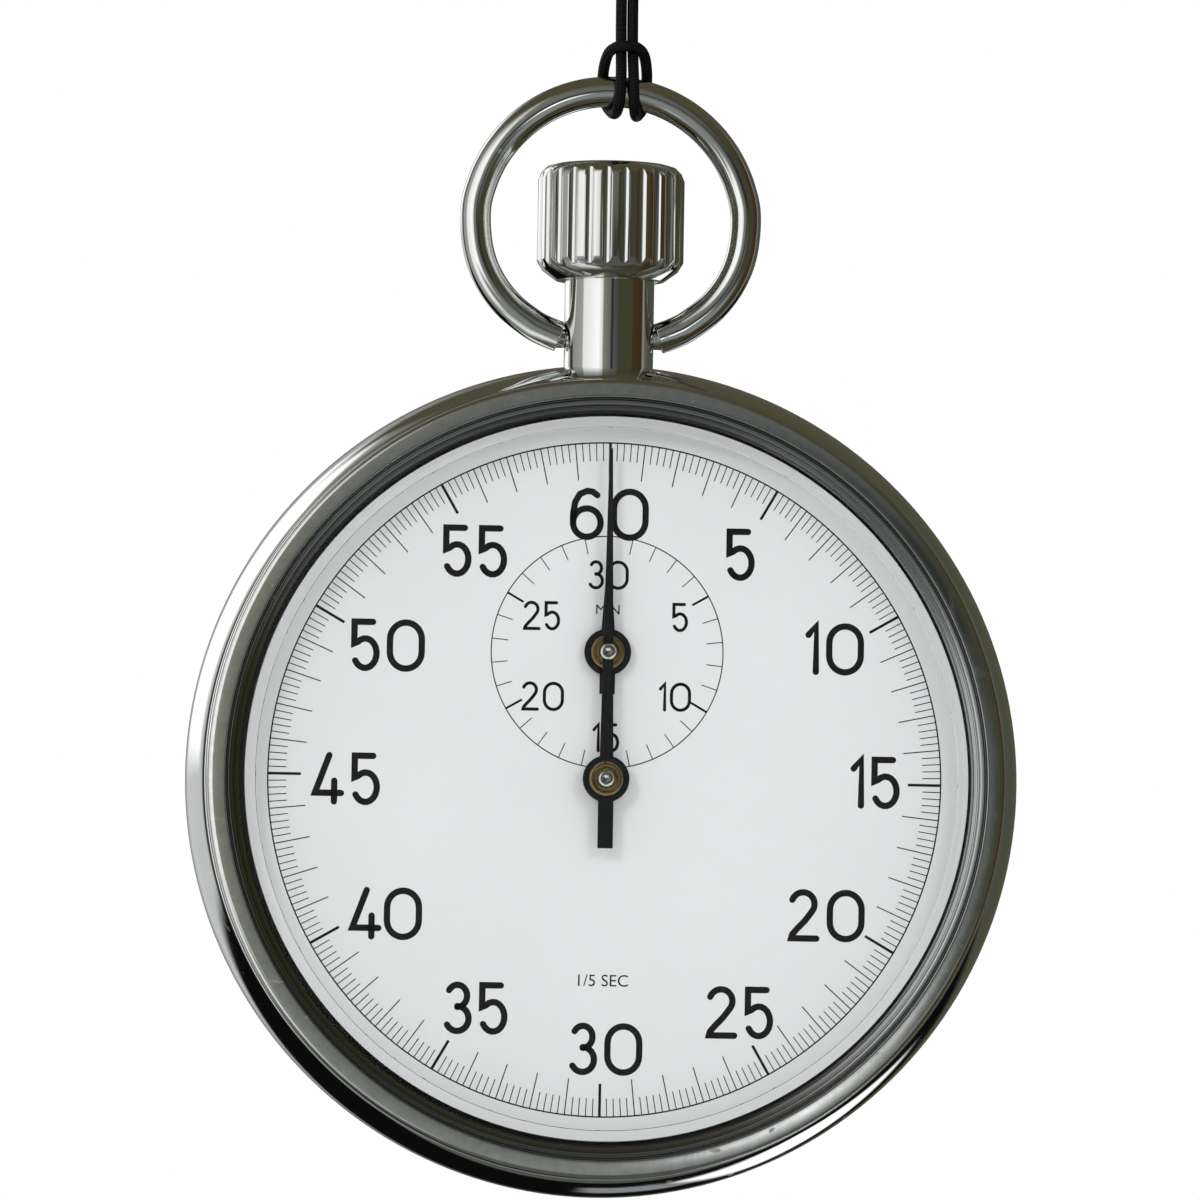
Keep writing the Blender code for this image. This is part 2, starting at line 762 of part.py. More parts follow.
def plates():
    def pivot_holes(places):
        return [circle(PIVOT_R + PIVOT_GAP, 8, place) for place in places]

    through = [SECONDS, MINUTE]
    shared = [CENTRE, THIRD, COUNTER, ESCAPE, PALLET, COLUMN]
    screw_holes = [circle(SCREW_R + SEAT_GAP, 8, place) for place in PILLARS]
    outlines = [circle(PLATE_R, ROUND), *pivot_holes(through + shared), *screw_holes]
    top = flat("top_plate", outlines, *TOP_PLATE, "brass")
    low, high = TOP_PLATE[0] - 1, TOP_PLATE[1] + 1
    room = flat("balance_room", [circle(BALANCE_R + 0.3, 24)], low, high, None, BALANCE)
    cock_r = COCK_R + 0.4
    foot_room = flat("cock_room", [link(BALANCE, COCK_FOOT, cock_r, cock_r)], low, high, None)
    arbor_hole = rod("barrel_arbor_hole", low, high, BARREL_ARBOR_R + PIVOT_GAP, place=(*BARREL, 0))
    cut(top, room, foot_room, arbor_hole)

    bores = [circle(ARBOR_TIP_R + SIDE_GAP, FINE_ROUND, place) for place in through]
    outlines = [circle(PLATE_R, ROUND), *bores, *pivot_holes([*shared, BALANCE, BARREL])]
    main = flat("main_plate", outlines, *MAIN_PLATE, "brass")
    half = WINDING_R + ADDENDUM * 0.3 + 0.45
    foot = CROWN_WHEEL[1] + 1.6
    notch = [(-half, foot), (half, foot), (half, PLATE_R + 2), (-half, PLATE_R + 2)]
    cut(main, flat("winding_notch", [notch], MAIN_PLATE[0] - 1, MAIN_PLATE[1] + 1, None))


def pillars_and_screws():
    low, high = TOP_PLATE[1] + SEAT_GAP / 2, MAIN_PLATE[0] - SEAT_GAP / 2
    shank_top = TOP_PLATE[1] + SCREW_DEPTH
    head_low = TOP_PLATE[0] - SEAT_GAP - 0.4
    for number, place in enumerate(PILLARS, 1):
        bore = SCREW_R + SEAT_GAP
        hole_end = shank_top + 0.2
        profile = [(0, high), (PILLAR_R, high), (PILLAR_R, low), (bore, low), (bore, hole_end), (0, hole_end)]
        turned(f"pillar_{number}", profile, "brass", (*place, 0))
        under = TOP_PLATE[0] - SEAT_GAP / 2
        screw = [
            (0, shank_top),
            (SCREW_R, shank_top),
            (SCREW_R, under),
            (SCREW_HEAD_R, under),
            (SCREW_HEAD_R, head_low),
            (0, head_low),
        ]
        turned(f"plate_screw_{number}", screw, "spring_steel", (*place, 0))


# Winding work and mainspring


def winding_work():
    middle = CROWN_WHEEL[1] + PEG_RING_R
    module = 2 * WINDING_R / WINDING_TEETH
    half_pitch = math.pi / WINDING_TEETH
    leaves = toothed(module, WINDING_TEETH, half_pitch - math.pi / 2, 0.3)
    outlines = [leaves, circle(STEM_TIP_R + SIDE_GAP, 8)]
    pinion = flat("winding_pinion", outlines, middle - 0.8, middle + 0.8, "steel", along="y")
    pinion.location.z = NECK_Z * MM

    phase = math.pi / 2  # a peg stands under the winding pinion's axis
    spur = toothed(RATCHET_MODULE, CROWN_WHEEL_TEETH, phase)
    wheel = flat("crown_wheel", [spur, circle(0.7, 10)], *RATCHET_LAYER, "steel", CROWN_WHEEL)
    top = NECK_Z - WINDING_R + ADDENDUM * 0.3
    pegs = [
        flat(f"peg_{i}", [circle(PEG_R, 4, peg, 0.2)], RATCHET_LAYER[1] - 0.2, top, None, CROWN_WHEEL)
        for i, peg in enumerate(circle(PEG_RING_R, CROWN_WHEEL_TEETH, start=phase))
    ]
    join(wheel, *pegs)
    core = [
        (0, RATCHET_LAYER[1] + 0.4),
        (1.1, RATCHET_LAYER[1] + 0.4),
        (1.1, RATCHET_LAYER[1] + SEAT_GAP),
        (0.7 - SIDE_GAP, RATCHET_LAYER[1] + SEAT_GAP),
        (0.7 - SIDE_GAP, TOP_PLATE[1] + SEAT_GAP),
        (0, TOP_PLATE[1] + SEAT_GAP),
    ]
    turned("crown_wheel_core", core, "steel", (*CROWN_WHEEL, 0))

    ratchet_phase = mesh_phase(CROWN_WHEEL_TEETH, phase, CROWN_WHEEL, RATCHET_TEETH, BARREL)
    ratchet = flat(
        "ratchet_wheel",
        [toothed(RATCHET_MODULE, RATCHET_TEETH, ratchet_phase)],
        *RATCHET_LAYER,
        "steel",
        BARREL,
    )
    arbor = [
        (0, MAIN_PLATE[1] - SEAT_GAP),
        (PIVOT_R, MAIN_PLATE[1] - SEAT_GAP),
        (PIVOT_R, DRUM_LAYER[1] + SEAT_GAP),
        (BARREL_ARBOR_R + 0.1, DRUM_LAYER[1] + SEAT_GAP - 0.3),
        (BARREL_ARBOR_R + 0.1, RATCHET_LAYER[0] - 0.3),
        (BARREL_ARBOR_R, RATCHET_LAYER[0] - 0.3),
        (BARREL_ARBOR_R, TOP_PLATE[0] + SEAT_GAP),
        (0, TOP_PLATE[0] + SEAT_GAP),
    ]
    join(ratchet, turned("barrel_arbor", arbor, None, (*BARREL, 0)))


def click_work():
    tip = (BARREL[0] - 5.72, BARREL[1] + 0.5)
    flat("click", [link(CLICK, tip, 0.9, 0.22), circle(0.4, 8, CLICK)], *RATCHET_LAYER, "steel")
    stud_top = RATCHET_LAYER[1] + 0.2
    rod("click_stud", TOP_PLATE[1] + SEAT_GAP, stud_top, 0.4 - PIVOT_GAP - 0.04, "steel", (*CLICK, 0))
    foot = (CLICK[0] - 2.2, CLICK[1] + 1.6)
    blade = link(foot, (tip[0] - 1.35, tip[1] - 0.35), 0.45, 0.14)
    spring = flat("click_spring", [blade], *RATCHET_LAYER, "spring_steel")
    low, high = TOP_PLATE[1] + SEAT_GAP, RATCHET_LAYER[1] + 0.2
    join(spring, rod("click_spring_foot", low, high, 0.35, place=(*foot, 0), sides=8))


def barrel():
    inner = DRUM_R - DRUM_WALL
    low, high = DRUM_LAYER
    drum = [
        (DRUM_R, high),
        (DRUM_R, low),
        (BARREL_ARBOR_R + 0.1 + SIDE_GAP, low),
        (BARREL_ARBOR_R + 0.1 + SIDE_GAP, low + 0.35),
        (inner, low + 0.35),
        (inner, high),
    ]
    obj = turned("barrel_drum", drum, "brass", (*BARREL, 0), sides=20)
    teeth = toothed(BARREL_PITCH_MODULE, BARREL_TEETH, 0.0)
    flange = flat("barrel_teeth", [teeth, circle(inner + 0.1, 20)], *BARREL_TOOTH_LAYER, None, BARREL)
    join(obj, flange)
    turns, per_turn = 4, 10
    first, last = 1.6, inner - 0.35
    spiral = []
    for i in range(turns * per_turn + 1):
        radius = first + (last - first) * i / (turns * per_turn)
        angle = TAU * i / per_turn
        spiral.append((radius * math.cos(angle), radius * math.sin(angle)))
    flat("mainspring", [ribbon(spiral, 0.13)], low + 0.5, high - 0.15, "spring_steel", BARREL)


def ribbon(points, half):
    """The outline of a flat strip of even thickness along a line of points."""
    left, right = [], []
    for i, (x, y) in enumerate(points):
        ax, ay = points[max(i - 1, 0)]
        bx, by = points[min(i + 1, len(points) - 1)]
        span = math.hypot(bx - ax, by - ay)
        nx, ny = -(by - ay) / span * half, (bx - ax) / span * half
        left.append((x + nx, y + ny))
        right.append((x - nx, y - ny))
    return left + right[::-1]


# Going train, minute counter and escapement


def going_train():
    seconds_phase = 0.1
    seconds_leaves = toothed(THIRD_MODULE, SECONDS_PINION, seconds_phase)
    third_phase = mesh_phase(SECONDS_PINION, seconds_phase, SECONDS, THIRD_TEETH, THIRD)
    third_leaf_phase = 0.1
    centre_phase = mesh_phase(THIRD_PINION, third_leaf_phase, THIRD, CENTRE_TEETH, CENTRE)
    centre_leaf_phase = mesh_phase(BARREL_TEETH, 0.0, BARREL, CENTRE_PINION, CENTRE)
    escape_leaf_phase = mesh_phase(SECONDS_TEETH, 0.0, SECONDS, ESCAPE_PINION, ESCAPE)
    counter_phase = mesh_phase(SECONDS_PINION, seconds_phase, SECONDS, COUNTER_TEETH, COUNTER)
    counter_leaf_phase = 0.1
    minute_phase = mesh_phase(COUNTER_PINION, counter_leaf_phase, COUNTER, MINUTE_TEETH, MINUTE)

    wheel_on_arbor(
        "centre_wheel",
        CENTRE,
        LOW_LAYER,
        toothed(CENTRE_MODULE, CENTRE_TEETH, centre_phase),
        [(toothed(BARREL_PITCH_MODULE, CENTRE_PINION, centre_leaf_phase), *around(BARREL_TOOTH_LAYER))],
    )
    wheel_on_arbor(
        "third_wheel",
        THIRD,
        THIRD_LAYER,
        toothed(THIRD_MODULE, THIRD_TEETH, third_phase),
        [(toothed(CENTRE_MODULE, THIRD_PINION, third_leaf_phase), *around(LOW_LAYER))],
    )
    wheel_on_arbor(
        "seconds_wheel",
        SECONDS,
        SECONDS_LAYER,
        toothed(ESCAPE_MODULE, SECONDS_TEETH, 0.0),
        [(seconds_leaves, THIRD_LAYER[0] - 0.1, COUNTER_LAYER[1] + 0.1)],
        ARBOR_TOP_Z,
        ARBOR_TIP_R,
        crossings(1.1, 3.0, 4, 0.25, 2),
    )
    wheel_on_arbor(
        "counter_wheel",
        COUNTER,
        COUNTER_LAYER,
        toothed(THIRD_MODULE, COUNTER_TEETH, counter_phase),
        [(toothed(MINUTE_MODULE, COUNTER_PINION, counter_leaf_phase), LOW_LAYER[0], LOW_LAYER[1] + 0.1)],
    )
    wheel_on_arbor(
        "minute_wheel",
        MINUTE,
        LOW_LAYER,
        toothed(MINUTE_MODULE, MINUTE_TEETH, minute_phase),
        [],
        MINUTE_HAND_Z + HAND_THICK + 0.18,
        ARBOR_TIP_R,
    )
    escape = []
    for i in range(ESCAPE_TEETH):
        middle = TAU * i / ESCAPE_TEETH
        for radius, turn in ((ESCAPE_R * 0.78, 0.0), (ESCAPE_R, 0.20), (ESCAPE_R * 0.78, 0.24)):
            escape.append((radius * math.cos(middle + turn), radius * math.sin(middle + turn)))
    wheel_on_arbor(
        "escape_wheel",
        ESCAPE,
        ESCAPE_LAYER,
        escape,
        [(toothed(ESCAPE_MODULE, ESCAPE_PINION, escape_leaf_phase), *around(SECONDS_LAYER))],
        material="steel",
    )


def heart(name, place):
    """The heart-shaped cam that brings a hand back to zero."""
    outline = []
    steps = 10
    for side in (1, -1):
        for i in range(steps + 1) if side > 0 else range(steps - 1, 0, -1):
            share = i / steps
            radius = 0.85 + 0.6 * share
            angle = math.pi / 2 + side * math.pi * share
            outline.append((radius * math.cos(angle), radius * math.sin(angle)))
    flat(name, [outline, circle(ARBOR_R + 0.05, 8)], *HEART_LAYER, "steel", place)


def escapement():
    staff_low, staff_high = TOP_PLATE[0] + SEAT_GAP, MAIN_PLATE[1] - SEAT_GAP
    staff = [
        (0, staff_high),
        (PIVOT_R, staff_high),
        (PIVOT_R, MAIN_PLATE[0] - SEAT_GAP),
        (STAFF_R, MAIN_PLATE[0] - SEAT_GAP),
        (STAFF_R, 4.15),
        (0.8, 4.15),
        (0.8, 3.92),
        (STAFF_R, 3.92),
        (STAFF_R, TOP_PLATE[1] + SEAT_GAP),
        (PIVOT_R, TOP_PLATE[1] + SEAT_GAP),
        (PIVOT_R, staff_low),
        (0, staff_low),
    ]
    wheel = flat(
        "balance_wheel",
        [circle(BALANCE_R, 28), *crossings(0.95, BALANCE_R - BALANCE_RIM, 2, 0.4, steps=7)],
        *BALANCE_LAYER,
        "brass",
        BALANCE,
    )
    join(wheel, turned("balance_staff", staff, None, (*BALANCE, 0)))

    turns, per_turn = 3, 12
    coil = []
    for i in range(turns * per_turn + 1):
        radius = STAFF_R + 0.35 + 2.6 * i / (turns * per_turn)
        angle = TAU * i / per_turn
        coil.append((radius * math.cos(angle), radius * math.sin(angle)))
    spring = flat("hairspring", [ribbon(coil, 0.05)], *HAIRSPRING_LAYER, "spring_steel", BALANCE)
    stud_place = (BALANCE[0] + coil[-1][0], BALANCE[1] + coil[-1][1], 0)
    low, high = HAIRSPRING_LAYER[0] - 0.1, MAIN_PLATE[0] - SEAT_GAP
    join(spring, rod("hairspring_stud", low, high, 0.2, place=stud_place, sides=8))

    # The fork stops just short of the roller, and its two stones stand clear of the escape wheel's tips.
    ux, uy = [(b - e) / math.dist(ESCAPE, BALANCE) for e, b in zip(ESCAPE, BALANCE, strict=True)]
    fork = (BALANCE[0] - ux * 1.35, BALANCE[1] - uy * 1.35)
    lever = flat("pallet_lever", [link(PALLET, fork, 0.55, 0.3)], *ESCAPE_LAYER, "steel")
    arms = []
    for side in (1, -1):
        reach = ESCAPE_R + 0.42
        angle = math.atan2(PALLET[1] - ESCAPE[1], PALLET[0] - ESCAPE[0]) + side * math.radians(38)
        stone = (ESCAPE[0] + reach * math.cos(angle), ESCAPE[1] + reach * math.sin(angle))
        arms.append(flat(f"pallet_arm_{side}", [link(PALLET, stone, 0.5, 0.2)], *ESCAPE_LAYER, None))
    join(lever, *arms, turned("pallet_arbor", arbor_profile(), None, (*PALLET, 0), sides=ARBOR_SIDES))

    cock_low = TOP_PLATE[0] - 0.05
    cock = flat(
        "balance_cock",
        [link(BALANCE, COCK_FOOT, COCK_R - 0.2, COCK_R), circle(PIVOT_R + PIVOT_GAP, 8, BALANCE)],
        cock_low,
        TOP_PLATE[1],
        "brass",
    )
    foot = rod("cock_foot", TOP_PLATE[1] - 0.3, MAIN_PLATE[0] - SEAT_GAP, 1.2, None, (*COCK_FOOT, 0))
    join(cock, foot)


# Levers worked by the crown


def levers():
    lever = flat("operating_lever", [link(LEVER, (-0.9, 17.55), 1.2, 0.5)], *LEVER_LAYER, "steel")
    knee, hook = (14.3, 12.6), (14.25, 9.3)
    arm = flat("lever_arm", [link(LEVER, knee, 1.15, 0.6)], *LEVER_LAYER, None)
    pull = flat("lever_hook", [link(knee, hook, 0.58, 0.35)], *LEVER_LAYER, None)
    bore = rod("lever_bore", 2, 8, 0.5, place=(*LEVER, 0))
    cut(join(lever, arm, pull), bore)
    stud_low, stud_high = TOP_PLATE[1] + SEAT_GAP, MAIN_PLATE[0] - SEAT_GAP
    rod("lever_stud", stud_low, stud_high, 0.5 - SIDE_GAP, "steel", (*LEVER, 0))

    ratchet = []
    for i in range(12):
        middle = TAU * i / 12
        for radius, turn in ((2.0, 0.0), (2.45, 0.42), (2.0, 0.47)):
            ratchet.append((radius * math.cos(middle + turn), radius * math.sin(middle + turn)))
    column = flat("column_wheel", [ratchet], *LEVER_LAYER, "steel", COLUMN)
    posts = []
    for i in range(6):
        middle = 0.32 + TAU * i / 6
        post = []
        for radius, direction in ((1.9, 1), (1.2, -1)):
            for j in range(3):
                angle = middle + direction * 0.26 * (j - 1)
                post.append((radius * math.cos(angle), radius * math.sin(angle)))
        posts.append(flat(f"column_{i}", [post], 3.4, LEVER_LAYER[0] + 0.2, None, COLUMN))
    join(column, turned("column_arbor", arbor_profile(), None, (*COLUMN, 0), sides=ARBOR_SIDES), *posts)

    hammer = flat("reset_hammer", [link(HAMMER, (3.1, 0.0), 1.1, 0.5)], *HEART_LAYER, "steel")
    seconds_outline = [(2.45, -0.75), (3.2, -0.75), (3.2, 0.75), (2.45, 0.75)]
    minute_outline = [(2.15, 7.0), (4.6, 7.0), (4.6, 8.5), (2.15, 8.5)]
    seconds_face = flat("hammer_seconds_face", [seconds_outline], *HEART_LAYER, None)
    minute_face = flat("hammer_minute_face", [minute_outline], *HEART_LAYER, None)
    beak = flat("hammer_beak", [link(HAMMER, (8.75, 10.65), 1.0, 0.22)], *HEART_LAYER, None)
    hammer_bore = rod("hammer_bore", 2, 8, 0.5, place=(*HAMMER, 0))
    cut(join(hammer, seconds_face, minute_face, beak), hammer_bore)
    rod("hammer_stud", stud_low, HEART_LAYER[1] + 0.3, 0.5 - SIDE_GAP, "steel", (*HAMMER, 0))

    reach = BALANCE_R + 0.55
    shoe = (BALANCE[0] + reach * 0.8, BALANCE[1] + reach * 0.6)
    brake = flat("brake_lever", [link(BRAKE, shoe, 0.9, 0.4)], *BALANCE_LAYER, "steel")
    cut(brake, rod("brake_bore", 2, 8, 0.45, place=(*BRAKE, 0)))
    rod("brake_stud", stud_low, stud_high, 0.45 - SIDE_GAP, "steel", (*BRAKE, 0))

    foot, tip = (9.8, 3.4), (MINUTE[0] + 3.75, MINUTE[1] - 1.75)
    jumper = flat("minute_jumper", [link(foot, tip, 0.7, 0.16)], *LOW_LAYER, "spring_steel")
    low, high = TOP_PLATE[1] + SEAT_GAP, LOW_LAYER[1] + 0.2
    join(jumper, rod("jumper_foot", low, high, 0.5, place=(*foot, 0), sides=8))


# Hands


def hands():
    bore = COLLET_R + SEAT_GAP / 2
    tail_half, root_half, tip_half = 0.48, 0.38, 0.1
    for name, place, z, reach, tail in (
        ("second_hand", SECONDS, SECOND_HAND_Z, SECOND_HAND_REACH, SECOND_HAND_TAIL),
        ("minute_hand", MINUTE, MINUTE_HAND_Z, MINUTE_HAND_REACH, MINUTE_HAND_TAIL),
    ):
        lean = math.asin(root_half / HAND_BOSS_R)
        tail_lean = math.asin(tail_half / HAND_BOSS_R)
        boss = []
        for first, last, ends in (
            (math.pi / 2 + lean, 1.5 * math.pi - tail_lean, [(-tail_half, -tail), (tail_half, -tail)]),
            (1.5 * math.pi + tail_lean, 2.5 * math.pi - lean, [(tip_half, reach), (-tip_half, reach)]),
        ):
            for i in range(7):
                angle = first + (last - first) * i / 6
                boss.append((HAND_BOSS_R * math.cos(angle), HAND_BOSS_R * math.sin(angle)))
            boss += ends
        flat(name, [boss, circle(bore, FINE_ROUND)], z, z + HAND_THICK, "hand_black", place)
        collet_bore = (ARBOR_TIP_R + SEAT_GAP / 2) / math.cos(math.pi / FINE_ROUND)
        collet = name.split("_")[0] + "_collet"
        tube(collet, z - 0.12, z + HAND_THICK + 0.12, COLLET_R, collet_bore, "brass", (*place, 0))


# Lanyard


def on_bow(x, y, z):
    """A point of the hitch, lowered with the bow's curve where the cord is near its wire."""
    drop = BOW_RING_R - math.sqrt(BOW_RING_R**2 - x**2)
    near = min(1, max(0, (3.5 - y) / 2.5))
    return (x, BOW_CENTRE_Y + BOW_RING_R + y - drop * near, NECK_Z + z)


def lanyard():
    for name, side in (("lanyard_left", -1), ("lanyard_right", 1)):
        route = [on_bow(HITCH_X + side * x, y, z) for x, y, z in HITCH_ROUTE]
        add_curve(name, wire(name, smooth_curve(route, 2), CORD_R, 1), "cord_black")
    eye = [(HITCH_X + x, KNOT_TOP_Y + y, NECK_Z) for x, y in EYE_ROUTE]
    add_curve("lanyard_eye", wire("lanyard_eye", smooth_curve(eye, 2), CORD_R, 1), "cord_black")
    knot = [
        (0, KNOT_TOP_Y),
        (KNOT_R * 0.6, KNOT_TOP_Y),
        (KNOT_R, KNOT_TOP_Y - KNOT_END),
        (KNOT_R, KNOT_FOOT_Y + KNOT_END),
        (KNOT_R * 0.6, KNOT_FOOT_Y),
        (0, KNOT_FOOT_Y),
    ]
    turned("lanyard_knot", knot, "cord_black", (HITCH_X, 0, NECK_Z), "y", 12)


def build():
    case_band()
    case_back()
    bezel()
    crystal()
    dial()
    movement_ring()
    neck_tube()
    crown()
    stem()
    push_sleeve()
    push_spring()
    bow()
    plates()
    pillars_and_screws()
    winding_work()
    click_work()
    barrel()
    going_train()
    heart("seconds_heart", SECONDS)
    heart("minute_heart", MINUTE)
    escapement()
    levers()
    hands()
    lanyard()
    for obj in WATCH.objects:
        if obj.type == "MESH" and obj.data.polygons:
            obj.data.shade_smooth()
            obj.data.set_sharp_from_angle(angle=math.radians(35))


build()
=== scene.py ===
import json
import math

import bpy
from mathutils import Matrix, Vector


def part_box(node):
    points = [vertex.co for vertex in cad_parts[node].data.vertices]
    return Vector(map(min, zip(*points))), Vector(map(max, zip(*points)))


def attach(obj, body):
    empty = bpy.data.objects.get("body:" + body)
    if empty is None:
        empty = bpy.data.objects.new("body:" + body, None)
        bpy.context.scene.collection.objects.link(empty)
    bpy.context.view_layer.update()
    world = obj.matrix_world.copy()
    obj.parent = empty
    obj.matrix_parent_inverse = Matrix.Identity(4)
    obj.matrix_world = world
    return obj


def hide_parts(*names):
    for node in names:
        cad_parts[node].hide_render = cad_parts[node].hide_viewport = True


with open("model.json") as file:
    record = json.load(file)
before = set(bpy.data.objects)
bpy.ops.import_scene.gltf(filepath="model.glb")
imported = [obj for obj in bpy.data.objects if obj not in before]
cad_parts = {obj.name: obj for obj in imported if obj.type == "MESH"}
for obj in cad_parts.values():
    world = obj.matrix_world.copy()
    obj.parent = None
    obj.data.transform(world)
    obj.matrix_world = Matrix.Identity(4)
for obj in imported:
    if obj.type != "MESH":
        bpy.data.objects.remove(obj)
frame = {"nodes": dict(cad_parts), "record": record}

bl_info = {
    "name": "Hand-wound stopwatch",
    "version": (1, 0, 0),
    "blender": (4, 5, 0),
    "location": "3D View > Sidebar > Stopwatch",
    "description": "Builds the visible pieces of a hand-wound stopwatch on its lanyard, and its studio",
    "category": "Object",
}

# The watch's own places are in millimetres: x to the right of the dial, y towards the crown and
# z out of the dial, from the middle of the case back. The frame gives where that point is.

MM = 0.001
TAU = 2 * math.pi
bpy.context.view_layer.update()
HIDDEN_FINISHES = ("brass", "steel", "spring_steel")


def watch_origin():
    low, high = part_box("case_band")
    return Vector(((low.x + high.x) / 2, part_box("case_back")[1].y, (low.z + high.z) / 2))


ORIGIN = watch_origin()


def at(x, y, z):
    """A place on the watch, in metres in the frame."""
    return ORIGIN + Vector((x, -z, y)) * MM


def in_watch(corner):
    """A frame point in the watch's millimetres."""
    offset = (corner - ORIGIN) / MM
    return Vector((offset.x, offset.z, -offset.y))


def heights(node):
    """How low and how high a CAD node lies, out of the dial, in millimetres."""
    low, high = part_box(node)
    return in_watch(high).z, in_watch(low).z


def reach(node):
    """A CAD node's lowest and highest place along the crown's axis, in millimetres."""
    low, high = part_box(node)
    return in_watch(low).y, in_watch(high).y


def half_width(node):
    low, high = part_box(node)
    return (high.x - low.x) / 2 / MM


CASE_R = half_width("case_band")
NECK_R = half_width("neck_tube")
CROWN_R = half_width("crown")
BACK_RIM_Z = 1.0
BAND_TOP_Z = heights("case_band")[1]
FLANK_FALL = 1.1
BEZEL_FOOT_Z, BEZEL_TOP_Z = heights("bezel")
BEZEL_R = half_width("bezel")
CRYSTAL_R = half_width("crystal")
CRYSTAL_FOOT_Z, CRYSTAL_TOP_Z = heights("crystal")
DIAL_FACE_Z = heights("dial")[1]
NECK_FOOT_Y, NECK_TOP_Y = reach("neck_tube")
CROWN_FOOT_Y, CROWN_TOP_Y = reach("crown")
NECK_Z = sum(heights("neck_tube")) / 2
BOW_R = half_width("bow")
BOW_WIRE_R = 0.965
BOW_RING_R = BOW_R - BOW_WIRE_R
BOW_TOP_Y = reach("bow")[1] - BOW_WIRE_R  # the wire's own middle line
BOW_CENTRE_Y = BOW_TOP_Y - BOW_RING_R
BOW_PIVOT_Y = BOW_CENTRE_Y - 7.05
# The wire of the ring's two ends: x from the middle and y from the pivot.
BOW_FOOT_ROUTE = ((8.30, 5.60), (7.62, 3.75), (6.45, 2.15), (4.95, 0.95), (4.00, 0.45), (3.08, 0.10))
HITCH_X = -ORIGIN.x / MM
KNOT_FOOT_Y, KNOT_TOP_Y = reach("lanyard_knot")
MINUTE_Y = in_watch(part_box("minute_collet")[0]).y + half_width("minute_collet")
PRINT_Z = DIAL_FACE_Z - 0.01


# Sizes and colours that a user would change


class StopwatchSizes(bpy.types.PropertyGroup):
    ring_sides: bpy.props.IntProperty(
        name="Ring sides", description="Flat sides of the case's round pieces", default=192, min=48, max=512
    )
    edge_round: bpy.props.FloatProperty(
        name="Edge rounding", description="Radius of the case's turned edges", default=0.06 * MM, unit="LENGTH"
    )
    flutes: bpy.props.IntProperty(name="Flutes", description="Grooves round the crown", default=26, min=8, max=60)
    flute_radius: bpy.props.FloatProperty(
        name="Flute radius", description="Radius of the cutter of each groove", default=0.36 * MM, unit="LENGTH"
    )
    cord_thickness: bpy.props.FloatProperty(
        name="Cord thickness", description="Thickness of the lanyard's cord", default=0.70 * MM, unit="LENGTH"
    )
    numeral_height: bpy.props.FloatProperty(
        name="Numeral height", description="Height of the seconds numerals", default=3.26 * MM, unit="LENGTH"
    )
    counter_numeral_height: bpy.props.FloatProperty(
        name="Counter numeral height", description="Height of the minute numerals", default=1.82 * MM, unit="LENGTH"
    )
    ink_thickness: bpy.props.FloatProperty(
        name="Ink thickness", description="How far the dial's ink is built up", default=0.025 * MM, unit="LENGTH"
    )


class StopwatchColours(bpy.types.PropertyGroup):
    chrome: bpy.props.FloatVectorProperty(
        name="Chrome", description="Plated case", subtype="COLOR", size=3, default=(0.80, 0.81, 0.80)
    )
    brass: bpy.props.FloatVectorProperty(
        name="Brass", description="Collets and wheels", subtype="COLOR", size=3, default=(0.42, 0.30, 0.13)
    )
    dial: bpy.props.FloatVectorProperty(
        name="Dial", description="Lacquer of the dial", subtype="COLOR", size=3, default=(0.83, 0.83, 0.84)
    )
    ink: bpy.props.FloatVectorProperty(
        name="Ink", description="Print on the dial", subtype="COLOR", size=3, default=(0.004, 0.004, 0.0045)
    )
    hands: bpy.props.FloatVectorProperty(
        name="Hands", description="Lacquer of the hands", subtype="COLOR", size=3, default=(0.004, 0.004, 0.0045)
    )
    cord: bpy.props.FloatVectorProperty(
        name="Cord", description="Waxed lanyard cord", subtype="COLOR", size=3, default=(0.0028, 0.0028, 0.003)
    )


def sizes():
    return bpy.context.scene.stopwatch_sizes


def colours():
    return bpy.context.scene.stopwatch_colours


# Shader nodes


def new_node(tree, kind, **settings):
    made = tree.nodes.new(kind)
    for name, value in settings.items():
        setattr(made, name, value)
    return made


def set_inputs(node, **values):
    for name, value in values.items():
        node.inputs[name.replace("_", " ")].default_value = value
    return node


def math_node(tree, operation, *inputs, clamp=False):
    made = new_node(tree, "ShaderNodeMath", operation=operation, use_clamp=clamp)
    for socket, value in zip(made.inputs, inputs):
        if isinstance(value, bpy.types.NodeSocket):
            tree.links.new(value, socket)
        else:
            socket.default_value = value
    return made.outputs[0]


def map_range(tree, value, low, high, to_low=0.0, to_high=1.0, smooth=False):
    made = new_node(tree, "ShaderNodeMapRange")
    made.interpolation_type = "SMOOTHSTEP" if smooth else "LINEAR"
    tree.links.new(value, made.inputs["Value"])
    for name, number in (("From Min", low), ("From Max", high), ("To Min", to_low), ("To Max", to_high)):
        made.inputs[name].default_value = number
    return made.outputs["Result"]


def mix_colour(tree, factor, first, second, blend="MIX"):
    made = new_node(tree, "ShaderNodeMix", data_type="RGBA", blend_type=blend)
    for socket, value in ((made.inputs[0], factor), (made.inputs[6], first), (made.inputs[7], second)):
        if isinstance(value, bpy.types.NodeSocket):
            tree.links.new(value, socket)
        elif isinstance(value, (int, float)):
            socket.default_value = value
        else:
            socket.default_value = (*value[:3], 1.0)
    return made.outputs[2]


